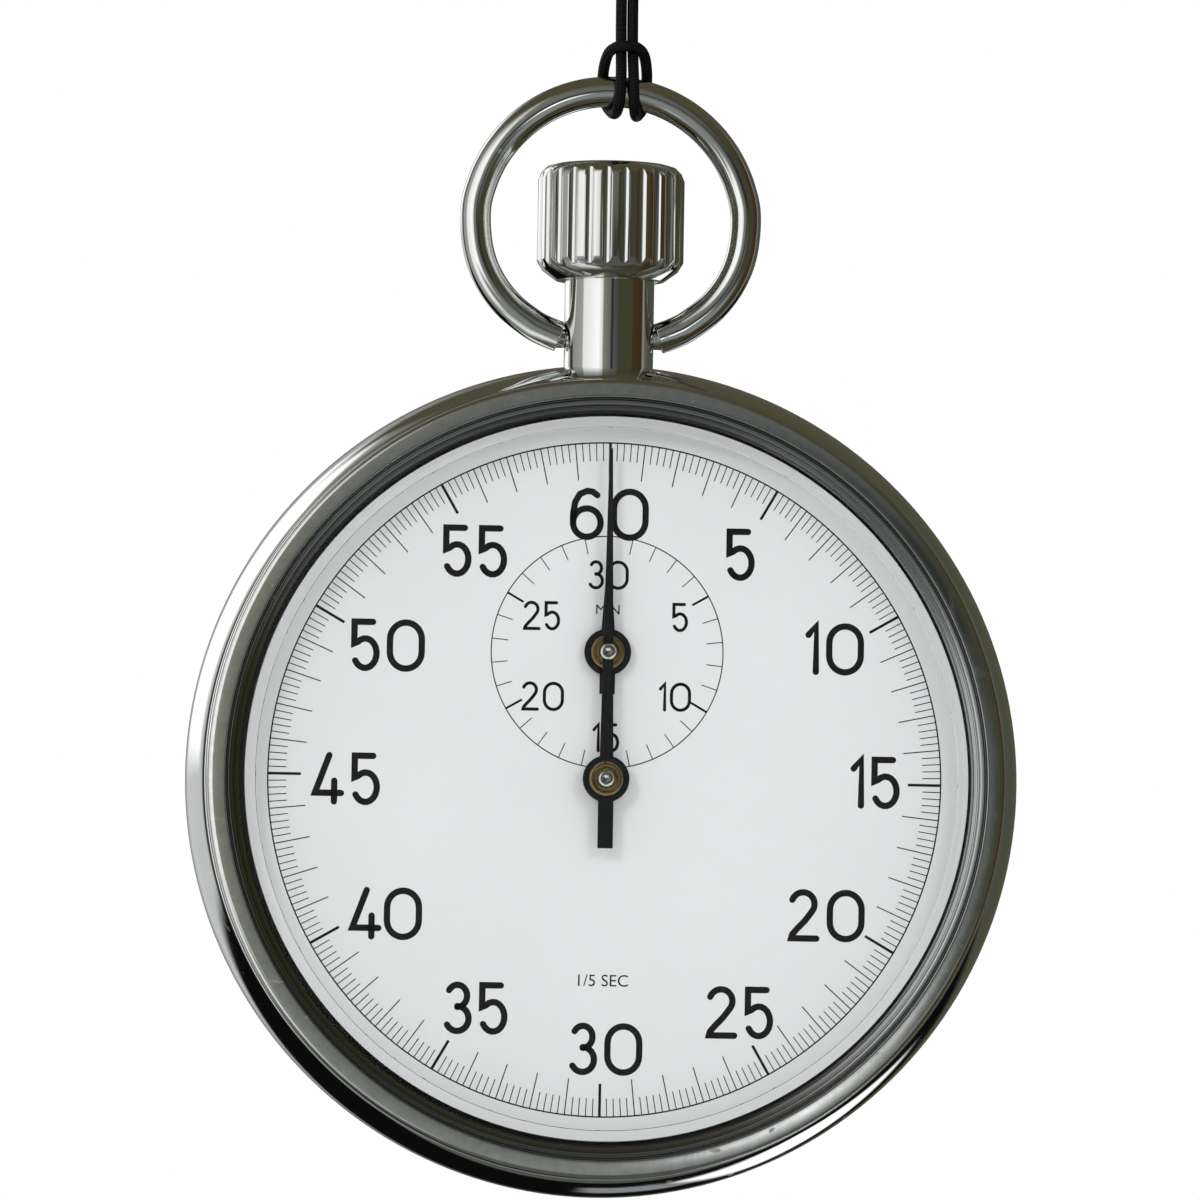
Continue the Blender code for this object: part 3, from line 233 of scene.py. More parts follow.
def new_group(name, inputs, outputs):
    """An empty shader group with its sockets. A socket is a name, a type and, for an input, a default."""
    group = bpy.data.node_groups.new(name, "ShaderNodeTree")
    for label, kind, default in inputs:
        socket = group.interface.new_socket(label, in_out="INPUT", socket_type=kind)
        if default is not None:
            socket.default_value = default
    for label, kind in outputs:
        group.interface.new_socket(label, in_out="OUTPUT", socket_type=kind)
    return group, group.nodes.new("NodeGroupInput"), group.nodes.new("NodeGroupOutput")


def noise(tree, vector, scale, detail=2.0, roughness=0.5, distortion=0.0):
    made = new_node(tree, "ShaderNodeTexNoise")
    if vector is not None:
        tree.links.new(vector, made.inputs["Vector"])
    if isinstance(scale, bpy.types.NodeSocket):
        tree.links.new(scale, made.inputs["Scale"])
    else:
        made.inputs["Scale"].default_value = scale
    made.inputs["Detail"].default_value = detail
    made.inputs["Roughness"].default_value = roughness
    made.inputs["Distortion"].default_value = distortion
    return made.outputs["Fac"]


def scaled(tree, vector, scale):
    made = new_node(tree, "ShaderNodeVectorMath", operation="MULTIPLY")
    tree.links.new(vector, made.inputs[0])
    made.inputs[1].default_value = scale
    return made.outputs[0]


def wear_group():
    """Handling marks: soft smudges, hairline scratches both ways, and a few specks."""
    group, entry, out = new_group(
        "Handling marks",
        [
            ("Vector", "NodeSocketVector", None),
            ("Smudge Size", "NodeSocketFloat", 90.0),
            ("Base Roughness", "NodeSocketFloat", 0.06),
            ("Smudge Roughness", "NodeSocketFloat", 0.05),
            ("Scratch Depth", "NodeSocketFloat", 1.0),
        ],
        [("Roughness", "NodeSocketFloat"), ("Height", "NodeSocketFloat"), ("Mask", "NodeSocketFloat")],
    )
    smudges = map_range(group, noise(group, entry.outputs["Vector"], entry.outputs["Smudge Size"], 4, 0.6), 0.45, 0.75)
    scratches = []
    for stretch, low in (((900, 900, 40), 0.70), ((60, 900, 900), 0.72)):
        lines = noise(group, scaled(group, entry.outputs["Vector"], stretch), 1.0, 1, 0.5)
        scratches.append(map_range(group, lines, low, 0.80))
    both = math_node(group, "MAXIMUM", *scratches)
    specks = map_range(group, noise(group, entry.outputs["Vector"], 1400, 0), 0.80, 0.84)
    rough = math_node(group, "MULTIPLY", smudges, entry.outputs["Smudge Roughness"])
    rough = math_node(group, "ADD", rough, entry.outputs["Base Roughness"])
    rough = math_node(group, "ADD", rough, math_node(group, "MULTIPLY", both, 0.06))
    rough = math_node(group, "ADD", rough, math_node(group, "MULTIPLY", specks, 0.15), clamp=True)
    height = math_node(group, "MULTIPLY", both, math_node(group, "MULTIPLY", entry.outputs["Scratch Depth"], -1.0))
    group.links.new(rough, out.inputs["Roughness"])
    group.links.new(height, out.inputs["Height"])
    group.links.new(smudges, out.inputs["Mask"])
    return group


def turning_group():
    """Fine rings left by a lathe round the vector's z axis."""
    group, entry, out = new_group(
        "Turning lines",
        [("Vector", "NodeSocketVector", None), ("Rings per Metre", "NodeSocketFloat", 6000.0)],
        [("Height", "NodeSocketFloat"), ("Shade", "NodeSocketFloat")],
    )
    split = new_node(group, "ShaderNodeSeparateXYZ")
    group.links.new(entry.outputs["Vector"], split.inputs[0])
    square = [math_node(group, "MULTIPLY", split.outputs[i], split.outputs[i]) for i in (0, 1)]
    radius = math_node(group, "SQRT", math_node(group, "ADD", *square))
    spread = math_node(group, "MULTIPLY", radius, entry.outputs["Rings per Metre"])
    fine = new_node(group, "ShaderNodeTexNoise", noise_dimensions="1D")
    group.links.new(spread, fine.inputs["W"])
    set_inputs(fine, Scale=1.0, Detail=3.0, Roughness=0.7)
    group.links.new(fine.outputs["Fac"], out.inputs["Height"])
    group.links.new(map_range(group, fine.outputs["Fac"], 0.3, 0.7), out.inputs["Shade"])
    return group


def braid_group():
    """The over-and-under of a round braid: x runs round the cord and y along it, in pattern turns. The second output
    marks the deep gaps between strands, where shade is painted.
    """
    group, entry, out = new_group(
        "Braid",
        [("Vector", "NodeSocketVector", None), ("Strands", "NodeSocketFloat", 6.0), ("Pitch", "NodeSocketFloat", 1.0)],
        [("Height", "NodeSocketFloat"), ("Painted Gap Shade", "NodeSocketFloat")],
    )
    split = new_node(group, "ShaderNodeSeparateXYZ")
    group.links.new(entry.outputs["Vector"], split.inputs[0])
    around = math_node(group, "MULTIPLY", split.outputs[0], entry.outputs["Strands"])
    along = math_node(group, "MULTIPLY", split.outputs[1], entry.outputs["Pitch"])
    waves = []
    for operation in ("ADD", "SUBTRACT"):
        slant = math_node(group, operation, around, along)
        turn = math_node(group, "MULTIPLY", slant, TAU)
        waves.append(math_node(group, "SINE", turn))
    height = math_node(group, "MULTIPLY", *waves)
    group.links.new(map_range(group, height, -1, 1), out.inputs["Height"])
    # Mask of the deepest places between the strands, used to paint shade into the cord's colour.
    group.links.new(map_range(group, height, -0.55, -0.95, smooth=True), out.inputs["Painted Gap Shade"])
    return group


GROUPS = {}


def group_node(tree, name, vector=None, **values):
    """One of the shared effects, built the first time that it is asked for."""
    makers = {"Handling marks": wear_group, "Turning lines": turning_group, "Braid": braid_group}
    if name not in GROUPS:
        GROUPS[name] = makers[name]()
    made = new_node(tree, "ShaderNodeGroup", node_tree=GROUPS[name])
    if vector is not None:
        tree.links.new(vector, made.inputs["Vector"])
    return set_inputs(made, **values)


def new_material(name, **shader_values):
    material = bpy.data.materials.new(name)
    material.use_nodes = True
    shader = material.node_tree.nodes["Principled BSDF"]
    set_inputs(shader, **shader_values)
    return material, material.node_tree, shader


def centred(tree, centre=(0, 0, 0), turn=(0, 0, 0)):
    """Object coordinates moved to a centre, and turned so that a pattern's z axis follows the piece's own."""
    coordinates = new_node(tree, "ShaderNodeTexCoord")
    mapping = new_node(tree, "ShaderNodeMapping", vector_type="TEXTURE")
    mapping.inputs["Location"].default_value = centre
    mapping.inputs["Rotation"].default_value = turn
    tree.links.new(coordinates.outputs["Object"], mapping.inputs["Vector"])
    return mapping.outputs["Vector"]


def bump(tree, shader, height, strength, distance):
    made = new_node(tree, "ShaderNodeBump")
    made.inputs["Strength"].default_value = strength
    made.inputs["Distance"].default_value = distance
    tree.links.new(height, made.inputs["Height"])
    tree.links.new(made.outputs["Normal"], shader.inputs["Normal"])
    return made


# Finishes


OUT_OF_DIAL = (math.radians(90), 0, 0)


def chrome_finish(name, roughness=0.045, smudge=0.05, tint=1.0):
    """Polished plating with handling marks."""
    material, tree, shader = new_material(name, Metallic=1.0)
    marks = group_node(
        tree,
        "Handling marks",
        centred(tree),
        Smudge_Size=160.0,
        Base_Roughness=roughness,
        Smudge_Roughness=smudge,
        Scratch_Depth=1.0,
    )
    plating = [channel * tint for channel in colours().chrome]
    dulled = [channel * 0.93 for channel in plating]
    base = mix_colour(tree, marks.outputs["Mask"], plating, dulled)
    tree.links.new(base, shader.inputs["Base Color"])
    tree.links.new(marks.outputs["Roughness"], shader.inputs["Roughness"])
    bump(tree, shader, marks.outputs["Height"], 0.25, 0.002 * MM)
    return material


def satin_chrome_finish(name):
    """Plating over a finely sanded face: soft reflections, with specks and streaks."""
    material, tree, shader = new_material(name, Metallic=1.0)
    vector = centred(tree)
    marks = group_node(tree, "Handling marks", vector, Base_Roughness=0.15, Smudge_Roughness=0.08, Scratch_Depth=1.5)
    mottle = map_range(tree, noise(tree, vector, 1500, 3, 0.6), 0.3, 0.7)
    base = mix_colour(tree, mottle, [c * 0.86 for c in colours().chrome], list(colours().chrome))
    tree.links.new(base, shader.inputs["Base Color"])
    tree.links.new(marks.outputs["Roughness"], shader.inputs["Roughness"])
    bump(tree, shader, marks.outputs["Height"], 0.4, 0.003 * MM)
    return material


def smoked_finish():
    """The slope round the crystal, coloured dark as painted shade, with fine streaks left by turning."""
    material, tree, shader = new_material("painted_shade_slope", Metallic=1.0)
    lines = group_node(tree, "Turning lines", centred(tree, at(0, 0, 0), OUT_OF_DIAL), Rings_per_Metre=14000.0)
    # Painted shade: a near-black base colour on the slope by the crystal, with the turning lines' lighter rings over
    # it.
    base = mix_colour(tree, lines.outputs["Shade"], (0.13, 0.135, 0.14), (0.50, 0.51, 0.52))
    tree.links.new(base, shader.inputs["Base Color"])
    tree.links.new(map_range(tree, lines.outputs["Shade"], 0, 1, 0.22, 0.12), shader.inputs["Roughness"])
    bump(tree, shader, lines.outputs["Height"], 0.4, 0.01 * MM)
    return material


def turned_chrome_finish(name, centre, rings, strength, roughness):
    """Plating over a face whose turning lines still show."""
    material, tree, shader = new_material(name, Metallic=1.0)
    vector = centred(tree, centre, OUT_OF_DIAL)
    lines = group_node(tree, "Turning lines", vector, Rings_per_Metre=rings)
    marks = group_node(tree, "Handling marks", centred(tree), Base_Roughness=roughness, Smudge_Roughness=0.08)
    base = mix_colour(tree, lines.outputs["Shade"], [c * 0.90 for c in colours().chrome], list(colours().chrome))
    tree.links.new(base, shader.inputs["Base Color"])
    tree.links.new(marks.outputs["Roughness"], shader.inputs["Roughness"])
    bump(tree, shader, lines.outputs["Height"], strength, 0.01 * MM)
    return material


def brass_finish(name, centre=(0, 0, 0), turn=OUT_OF_DIAL, rings=9000.0, colour=None):
    material, tree, shader = new_material(name, Metallic=1.0)
    lines = group_node(tree, "Turning lines", centred(tree, centre, turn), Rings_per_Metre=rings)
    marks = group_node(tree, "Handling marks", centred(tree), Base_Roughness=0.24, Smudge_Roughness=0.15)
    bright = list(colour or colours().brass)
    base = mix_colour(tree, lines.outputs["Shade"], [c * 0.6 for c in bright], bright)
    base = mix_colour(tree, marks.outputs["Mask"], base, [c * 0.7 for c in bright])
    tree.links.new(base, shader.inputs["Base Color"])
    tree.links.new(marks.outputs["Roughness"], shader.inputs["Roughness"])
    bump(tree, shader, lines.outputs["Height"], 0.5, 0.01 * MM)
    return material


def steel_finish(name, colour=(0.60, 0.60, 0.58), roughness=0.22):
    """Ground steel with a straight grain."""
    material, tree, shader = new_material(name, Metallic=1.0)
    vector = centred(tree)
    grain = noise(tree, scaled(tree, vector, (300, 9000, 9000)), 1.0, 3, 0.6)
    marks = group_node(tree, "Handling marks", vector, Base_Roughness=roughness, Smudge_Roughness=0.12)
    base = mix_colour(tree, map_range(tree, grain, 0.3, 0.7), [c * 0.8 for c in colour], colour)
    tree.links.new(base, shader.inputs["Base Color"])
    tree.links.new(marks.outputs["Roughness"], shader.inputs["Roughness"])
    bump(tree, shader, grain, 0.3, 0.01 * MM)
    return material


def dial_finish():
    """White lacquer: a trace of orange peel, and the faintest unevenness of tone."""
    material, tree, shader = new_material("dial_lacquer", Roughness=0.45, Specular_IOR_Level=0.3)
    vector = centred(tree)
    tone = map_range(tree, noise(tree, vector, 60, 2), 0.35, 0.65)
    base = mix_colour(tree, tone, [c * 0.985 for c in colours().dial], list(colours().dial))
    tree.links.new(base, shader.inputs["Base Color"])
    bump(tree, shader, noise(tree, vector, 2600, 1), 0.08, 0.01 * MM)
    return material


def ink_finish():
    material, tree, shader = new_material("dial_ink", Specular_IOR_Level=0.2)
    vector = centred(tree)
    patches = map_range(tree, noise(tree, vector, 1800, 2), 0.3, 0.7)
    base = mix_colour(tree, patches, list(colours().ink), [c * 1.7 for c in colours().ink])
    tree.links.new(base, shader.inputs["Base Color"])
    tree.links.new(map_range(tree, patches, 0, 1, 0.42, 0.6), shader.inputs["Roughness"])
    bump(tree, shader, noise(tree, vector, 5000, 1), 0.15, 0.004 * MM)
    return material


def hand_finish():
    material, tree, shader = new_material("hand_lacquer", Specular_IOR_Level=0.3)
    vector = centred(tree)
    grain = noise(tree, vector, 3000, 3, 0.6)
    base = mix_colour(tree, grain, list(colours().hands), [c * 2.2 for c in colours().hands])
    tree.links.new(base, shader.inputs["Base Color"])
    tree.links.new(map_range(tree, grain, 0.3, 0.7, 0.34, 0.5), shader.inputs["Roughness"])
    bump(tree, shader, grain, 0.2, 0.004 * MM)
    return material


def crystal_finish():
    """Clear acrylic. Shadows and the dial's soft light pass straight through it."""
    material, tree, shader = new_material("acrylic", IOR=1.49, Roughness=0.0, Transmission_Weight=1.0, Specular_IOR_Level=0.25)
    marks = group_node(tree, "Handling marks", centred(tree), Base_Roughness=0.0, Smudge_Roughness=0.012)
    tint = mix_colour(tree, marks.outputs["Mask"], (0.975, 0.985, 0.98), (0.96, 0.97, 0.965))
    tree.links.new(tint, shader.inputs["Base Color"])
    bump(tree, shader, marks.outputs["Height"], 0.05, 0.001 * MM)
    clear = new_node(tree, "ShaderNodeBsdfTransparent")
    clear.inputs["Color"].default_value = (0.97, 0.975, 0.97, 1)
    path = new_node(tree, "ShaderNodeLightPath")
    through = math_node(tree, "MAXIMUM", path.outputs["Is Shadow Ray"], path.outputs["Is Diffuse Ray"])
    blend = new_node(tree, "ShaderNodeMixShader")
    tree.links.new(through, blend.inputs["Fac"])
    tree.links.new(shader.outputs[0], blend.inputs[1])
    tree.links.new(clear.outputs[0], blend.inputs[2])
    tree.links.new(blend.outputs[0], tree.nodes["Material Output"].inputs["Surface"])
    return material


def cord_finish():
    """Waxed black braid, on the cord's own map, with painted shade in the gaps between strands."""
    material, tree, shader = new_material("waxed_cord", Specular_IOR_Level=0.12)
    uv = new_node(tree, "ShaderNodeTexCoord").outputs["UV"]
    braid = group_node(tree, "Braid", uv, Strands=4.0, Pitch=1.0)
    # Painted shade: the colour is darker in the gaps between the strands than on the strands themselves.
    base = mix_colour(tree, braid.outputs["Painted Gap Shade"], [c * 1.8 for c in colours().cord], [c * 0.3 for c in colours().cord])
    tree.links.new(base, shader.inputs["Base Color"])
    tree.links.new(map_range(tree, braid.outputs["Height"], 0, 1, 0.62, 0.36), shader.inputs["Roughness"])
    bump(tree, shader, braid.outputs["Height"], 0.7, 0.05 * MM)
    return material


# Modelling


def deselect_all():
    if bpy.context.mode != "OBJECT":
        bpy.ops.object.mode_set(mode="OBJECT")
    bpy.ops.object.select_all(action="DESELECT")


def select_only(*objects):
    deselect_all()
    for obj in objects:
        obj.select_set(True)
    bpy.context.view_layer.objects.active = objects[0]


def settle(obj):
    """Moves a piece's place from its object into its mesh."""
    select_only(obj)
    bpy.ops.object.transform_apply(location=True, rotation=True, scale=True)
    return obj


def tidy_mesh(obj):
    """Merges doubles and turns the faces outwards."""
    select_only(obj)
    bpy.ops.object.mode_set(mode="EDIT")
    bpy.ops.mesh.select_all(action="SELECT")
    bpy.ops.mesh.remove_doubles(threshold=0.0005 * MM)
    bpy.ops.mesh.dissolve_degenerate(threshold=0.0005 * MM)
    bpy.ops.mesh.normals_make_consistent(inside=False)
    bpy.ops.object.mode_set(mode="OBJECT")
    return obj


def apply_modifier(obj, kind, **settings):
    select_only(obj)
    modifier = obj.modifiers.new(kind.lower(), kind)
    for name, value in settings.items():
        setattr(modifier, name, value)
    bpy.ops.object.modifier_apply(modifier=modifier.name)
    return obj


def rounded(obj, width, segments=3, angle=28):
    """Rounds the edges sharper than an angle, and keeps the flats looking flat."""
    apply_modifier(
        obj, "BEVEL", width=width, segments=segments, limit_method="ANGLE", angle_limit=math.radians(angle)
    )
    return smoothed(obj)


def smoothed(obj, angle=40):
    select_only(obj)
    bpy.ops.object.shade_smooth_by_angle(angle=math.radians(angle))
    apply_modifier(obj, "WEIGHTED_NORMAL", keep_sharp=True, weight=60)
    return obj


def joined(name, objects):
    select_only(*objects)
    if len(objects) > 1:
        bpy.ops.object.join()
    obj = bpy.context.active_object
    obj.name = name
    obj.data.name = name
    return obj


def copied(obj, name):
    select_only(obj)
    bpy.ops.object.duplicate(linked=False)
    obj = bpy.context.active_object
    obj.name = name
    return obj


def cut_with(obj, *cutters, operation="DIFFERENCE"):
    for cutter in cutters:
        apply_modifier(obj, "BOOLEAN", object=cutter, operation=operation, solver="EXACT")
        select_only(cutter)
        bpy.ops.object.delete()
    return tidy_mesh(obj)


def turned(name, profile, place=(0, 0, 0), along="out", sides=None):
    """A turned piece: a line through radius and height points, spun round an axis.
    along "out" spins round the dial's axis, and "up" round the crown's."""
    deselect_all()
    x, y, z = place

    def spot(radius, height):
        return at(x + radius, y, z + height) if along == "out" else at(x + radius, y + height, z)

    first = spot(*profile[0])
    bpy.ops.mesh.primitive_plane_add(size=MM, location=(0, 0, 0))
    obj = bpy.context.active_object
    obj.name = name
    obj.data.name = name
    bpy.ops.object.mode_set(mode="EDIT")
    bpy.ops.mesh.select_all(action="SELECT")
    bpy.ops.mesh.merge(type="CENTER")
    bpy.ops.transform.translate(value=first)
    last = first
    for radius, height in profile[1:]:
        here = spot(radius, height)
        bpy.ops.mesh.extrude_region_move(TRANSFORM_OT_translate={"value": here - last})
        last = here
    bpy.ops.mesh.select_all(action="SELECT")
    bpy.ops.mesh.remove_doubles(threshold=0.0005 * MM)
    axis = (0, 1, 0) if along == "out" else (0, 0, 1)
    bpy.ops.mesh.spin(steps=sides or sizes().ring_sides, angle=TAU, center=at(x, y, z), axis=axis)
    bpy.ops.object.mode_set(mode="OBJECT")
    return tidy_mesh(obj)


def give(obj, material):
    obj.data.materials.clear()
    obj.data.materials.append(material)
    return obj


def arc(centre, radii, start, end, count=10):
    """Points on an ellipse's arc, with angles in degrees from the right."""
    angles = [math.radians(start + (end - start) * i / count) for i in range(count + 1)]
    return [(centre[0] + radii[0] * math.cos(a), centre[1] + radii[1] * math.sin(a)) for a in angles]


# Stage


HORIZON = (
    # degrees to the right of the viewer, as the watch sees them, and what stands there
    (-180, (0.10, 0.09, 0.07)),
    (-160, (0.62, 0.64, 0.64)),
    (-130, (0.62, 0.63, 0.62)),
    (-124, (0.50, 0.51, 0.50)),
    (-121, (0.04, 0.04, 0.035)),
    (-111, (0.06, 0.06, 0.05)),
    (-108, (0.32, 0.32, 0.30)),
    (-76, (0.40, 0.40, 0.38)),
    (-73, (0.92, 0.93, 0.93)),
    (-30, (1.20, 1.20, 1.20)),
    (-20, (0.80, 0.80, 0.74)),
    (-18, (0.24, 0.25, 0.20)),
    (0, (0.15, 0.155, 0.145)),
    (18, (0.11, 0.118, 0.112)),
    (20, (0.055, 0.058, 0.035)),
    (58, (0.066, 0.062, 0.034)),
    (60, (0.060, 0.038, 0.018)),
    (90, (0.052, 0.031, 0.015)),
    (96, (0.30, 0.30, 0.28)),
    (104, (0.13, 0.125, 0.09)),
    (119, (0.08, 0.09, 0.075)),
    (142, (0.075, 0.08, 0.05)),
    (165, (0.09, 0.09, 0.06)),
    (180, (0.10, 0.09, 0.07)),
)
OVERHEAD = (0.085, 0.075, 0.045)
UNDERFOOT = (0.10, 0.10, 0.09)
PANELS = (
    # name, degrees right, degrees up, half width, half height, softness, brightness
    ("dark floor behind", 180, -34, 62, 20, 4, (0.004, 0.004, 0.004)),
    ("wall behind, left", -148, 20, 16, 17, 3, (1.25, 1.25, 1.25)),
    ("lamp behind, low right", 155, -31, 11, 9, 3, (1.30, 1.30, 1.30)),
    ("doorway behind, low right", 172, -36, 5, 6, 2, (0.28, 0.30, 0.32)),
    ("ceiling behind", 178, 40, 26, 12, 6, (0.085, 0.080, 0.052)),
    ("wall in front, low", 0, -26, 46, 14, 8, (0.24, 0.26, 0.25)),
    ("window in front, low right", 11, -9, 3.5, 3.5, 3, (1.60, 1.60, 1.60)),
    ("dark lens in front", 4.5, 3.5, 3.5, 3.5, 2, (0.035, 0.036, 0.036)),
    ("dark case in front", 14, 9, 5, 4, 3, (0.012, 0.013, 0.013)),
)


def panel_group():
    """A soft-edged window in the studio's walls, by its bearing, its height and its half sizes in degrees."""
    group, entry, out = new_group(
        "Studio panel",
        [
            (label, "NodeSocketFloat", 0.0)
            for label in ("Bearing", "Elevation", "Right", "Up", "Half Width", "Half Height", "Softness")
        ],
        [("Mask", "NodeSocketFloat")],
    )
    ports = entry.outputs
    offset = math_node(group, "SUBTRACT", ports["Bearing"], ports["Right"])
    sideways = math_node(group, "ABSOLUTE", math_node(group, "WRAP", offset, 180.0, -180.0))
    upwards = math_node(group, "ABSOLUTE", math_node(group, "SUBTRACT", ports["Elevation"], ports["Up"]))
    masks = []
    for distance, size in ((sideways, ports["Half Width"]), (upwards, ports["Half Height"])):
        inside = math_node(group, "SUBTRACT", size, distance)
        edge = math_node(group, "DIVIDE", inside, ports["Softness"])
        masks.append(math_node(group, "ADD", edge, 0.5, clamp=True))
    group.links.new(math_node(group, "MULTIPLY", *masks), out.inputs["Mask"])
    return group


def studio_colour(tree):
    """What the polished metal sees, by direction."""
    direction = new_node(tree, "ShaderNodeTexCoord").outputs["Generated"]
    split = new_node(tree, "ShaderNodeSeparateXYZ")
    tree.links.new(direction, split.inputs[0])
    to_front = math_node(tree, "MULTIPLY", split.outputs[1], -1.0)
    turn = math_node(tree, "ARCTAN2", split.outputs[0], to_front)
    bearing = math_node(tree, "DEGREES", turn)
    elevation = math_node(tree, "DEGREES", math_node(tree, "ARCSINE", split.outputs[2]))
    ramp = new_node(tree, "ShaderNodeValToRGB")
    stops = ramp.color_ramp.elements
    while len(stops) < len(HORIZON):
        stops.new(0.5)
    for stop, (degrees, colour) in zip(stops, HORIZON):
        stop.position = (degrees + 180) / 360
        stop.color = (*colour, 1)
    tree.links.new(map_range(tree, bearing, -180, 180), ramp.inputs["Fac"])
    colour = mix_colour(tree, map_range(tree, elevation, 22, 55, smooth=True), ramp.outputs["Color"], OVERHEAD)
    colour = mix_colour(tree, map_range(tree, elevation, -25, -60, smooth=True), colour, UNDERFOOT)
    panels = panel_group()
    for name, right, up, half_wide, half_high, softness, brightness in PANELS:
        panel = new_node(tree, "ShaderNodeGroup", node_tree=panels, label=name)
        tree.links.new(bearing, panel.inputs["Bearing"])
        tree.links.new(elevation, panel.inputs["Elevation"])
        set_inputs(
            panel, Right=right, Up=up, Half_Width=half_wide, Half_Height=half_high, Softness=softness
        )
        colour = mix_colour(tree, panel.outputs["Mask"], colour, brightness)
    return colour


CAMERA_DISTANCE = 0.6
CAMERA_LENS = 287.8
VIEW_TARGET = (-0.277, 11.328, 5.6)
VIEW_AZIMUTH = math.radians(-3.734)
VIEW_ELEVATION = math.radians(-2.983)
VIEW_ROLL = math.radians(0.953)


def studio_world():
    world = bpy.data.worlds.new("studio")
    bpy.context.scene.world = world
    world.use_nodes = True
    tree = world.node_tree
    background = tree.nodes["Background"]
    path = new_node(tree, "ShaderNodeLightPath")
    soft = (0.86, 0.86, 0.875)
    colour = mix_colour(tree, path.outputs["Is Diffuse Ray"], studio_colour(tree), soft)
    colour = mix_colour(tree, path.outputs["Is Camera Ray"], colour, (1.0, 1.0, 1.0))
    tree.links.new(colour, background.inputs["Color"])


def area_light(name, place, target, size, power):
    deselect_all()
    bpy.ops.object.light_add(type="AREA", location=place)
    light = bpy.context.active_object
    light.name = name
    light.data.shape = "DISK"
    light.data.size = size
    light.data.energy = power
    light.rotation_euler = (target - place).to_track_quat("-Z", "Y").to_euler()
    light.visible_glossy = False
    light.visible_transmission = False
    return light


def studio_camera():
    """The camera faces the dial from a little below and to the left, turned slightly about its own axis."""
    out = Vector(
        (
            math.sin(VIEW_AZIMUTH) * math.cos(VIEW_ELEVATION),
            -math.cos(VIEW_AZIMUTH) * math.cos(VIEW_ELEVATION),
            math.sin(VIEW_ELEVATION),
        )
    )
    level_right = Vector((0, 0, 1)).cross(out).normalized()
    level_up = out.cross(level_right)
    right = level_right * math.cos(VIEW_ROLL) + level_up * math.sin(VIEW_ROLL)
    up = out.cross(right)
    target = at(*VIEW_TARGET)
    deselect_all()
    bpy.ops.object.camera_add()
    camera = bpy.context.active_object
    camera.name = "studio_camera"
    camera.matrix_world = Matrix.Translation(target + out * CAMERA_DISTANCE) @ Matrix((right, up, out)).transposed().to_4x4()
    camera.data.sensor_width = 36
    camera.data.lens = CAMERA_LENS
    camera.data.clip_start = 0.01
    camera.data.clip_end = 20
    bpy.context.scene.camera = camera


def studio_floor():
    deselect_all()
    bpy.ops.mesh.primitive_plane_add(size=3, location=(0, 0, -0.35))
    floor = bpy.context.active_object
    floor.name = "studio_floor"
    material, tree, shader = new_material("pale_paper", Roughness=0.8)
    tone = map_range(tree, noise(tree, centred(tree), 30, 3), 0.3, 0.7)
    tree.links.new(mix_colour(tree, tone, (0.86, 0.86, 0.86), (0.89, 0.89, 0.88)), shader.inputs["Base Color"])
    floor.data.materials.append(material)
    floor.visible_glossy = False


class STOPWATCH_OT_stage(bpy.types.Operator):
    """Sets the studio's walls, floor, lamps and camera"""

    bl_idname = "stopwatch.stage"
    bl_label = "Studio"

    def execute(self, context):
        context.scene.view_settings.view_transform = "Standard"
        studio_world()
        studio_floor()
        dial_centre = at(0, 0, DIAL_FACE_Z)
        area_light("lamp_left", Vector((-0.55, -0.80, 0.45)), dial_centre, 0.20, 2.4)
        area_light("lamp_right", Vector((0.50, -0.85, 0.40)), dial_centre, 0.25, 1.5)
        studio_camera()
        return {"FINISHED"}


# Lanyard


HITCH_ROUTE = (
    # x out from the hitch's middle, then y and z from the bow wire's centre
    (0.15, 2.78, 1.20),
    (0.65, 2.75, 0.80),
    (1.10, 2.45, 0.05),
    (1.33, 1.70, -0.62),
    (1.38, 0.80, -1.18),
    (1.30, 0.00, -1.37),
    (1.12, -0.75, -1.15),
    (0.85, -1.22, -0.62),
    (0.66, -1.37, 0.00),
    (0.54, -1.18, 0.70),
    (0.46, -0.68, 1.19),
    (0.42, 0.00, 1.37),
    (0.40, 0.70, 1.36),
    (0.38, 1.40, 1.12),
    (0.37, 2.10, 0.76),
    (0.36, 2.80, 0.44),
    (0.36, 3.70, 0.20),
    (0.36, 5.00, 0.06),
    (0.36, 7.00, 0.00),
    (0.36, 12.0, 0.00),
    (0.36, 17.0, 0.00),
    (0.36, 22.6, 0.00),
)
EYE_ROUTE = (
    # x from the hitch's middle and y from the knot's top
    (-0.36, 0.20),
    (-0.50, 1.70),
    (-1.00, 4.40),
    (-1.70, 7.60),
    (-2.20, 10.4),
    (-2.12, 12.4),
    (-1.40, 13.9),
    (0.00, 14.5),
    (1.40, 13.9),
    (2.12, 12.4),
    (2.20, 10.4),
    (1.70, 7.60),
    (1.00, 4.40),
    (0.50, 1.70),
    (0.36, 0.20),
)


def on_bow(x, y, z):
    """A point of the hitch, lowered with the bow's curve where the cord is near its wire."""
    drop = BOW_RING_R - math.sqrt(BOW_RING_R**2 - x**2)
    near = min(1, max(0, (3.5 - y) / 2.5))
    return (x, BOW_TOP_Y + y - drop * near, NECK_Z + z)


def smooth_curve(points, per_span):
    """Catmull-Rom points through the route's own."""
    padded = [points[0], *points, points[-1]]
    out = []
    for a, b, c, d in zip(padded, padded[1:], padded[2:], padded[3:]):
        for i in range(per_span):
            t = i / per_span
            out.append(
                tuple(
                    0.5 * (2 * q + (r - p) * t + (2 * p - 5 * q + 4 * r - s) * t**2 + (3 * q - p - 3 * r + s) * t**3)
                    for p, q, r, s in zip(a, b, c, d)
                )
            )
    return [*out, points[-1]]


def length_of(points):
    return sum((b - a).length for a, b in zip(points, points[1:]))


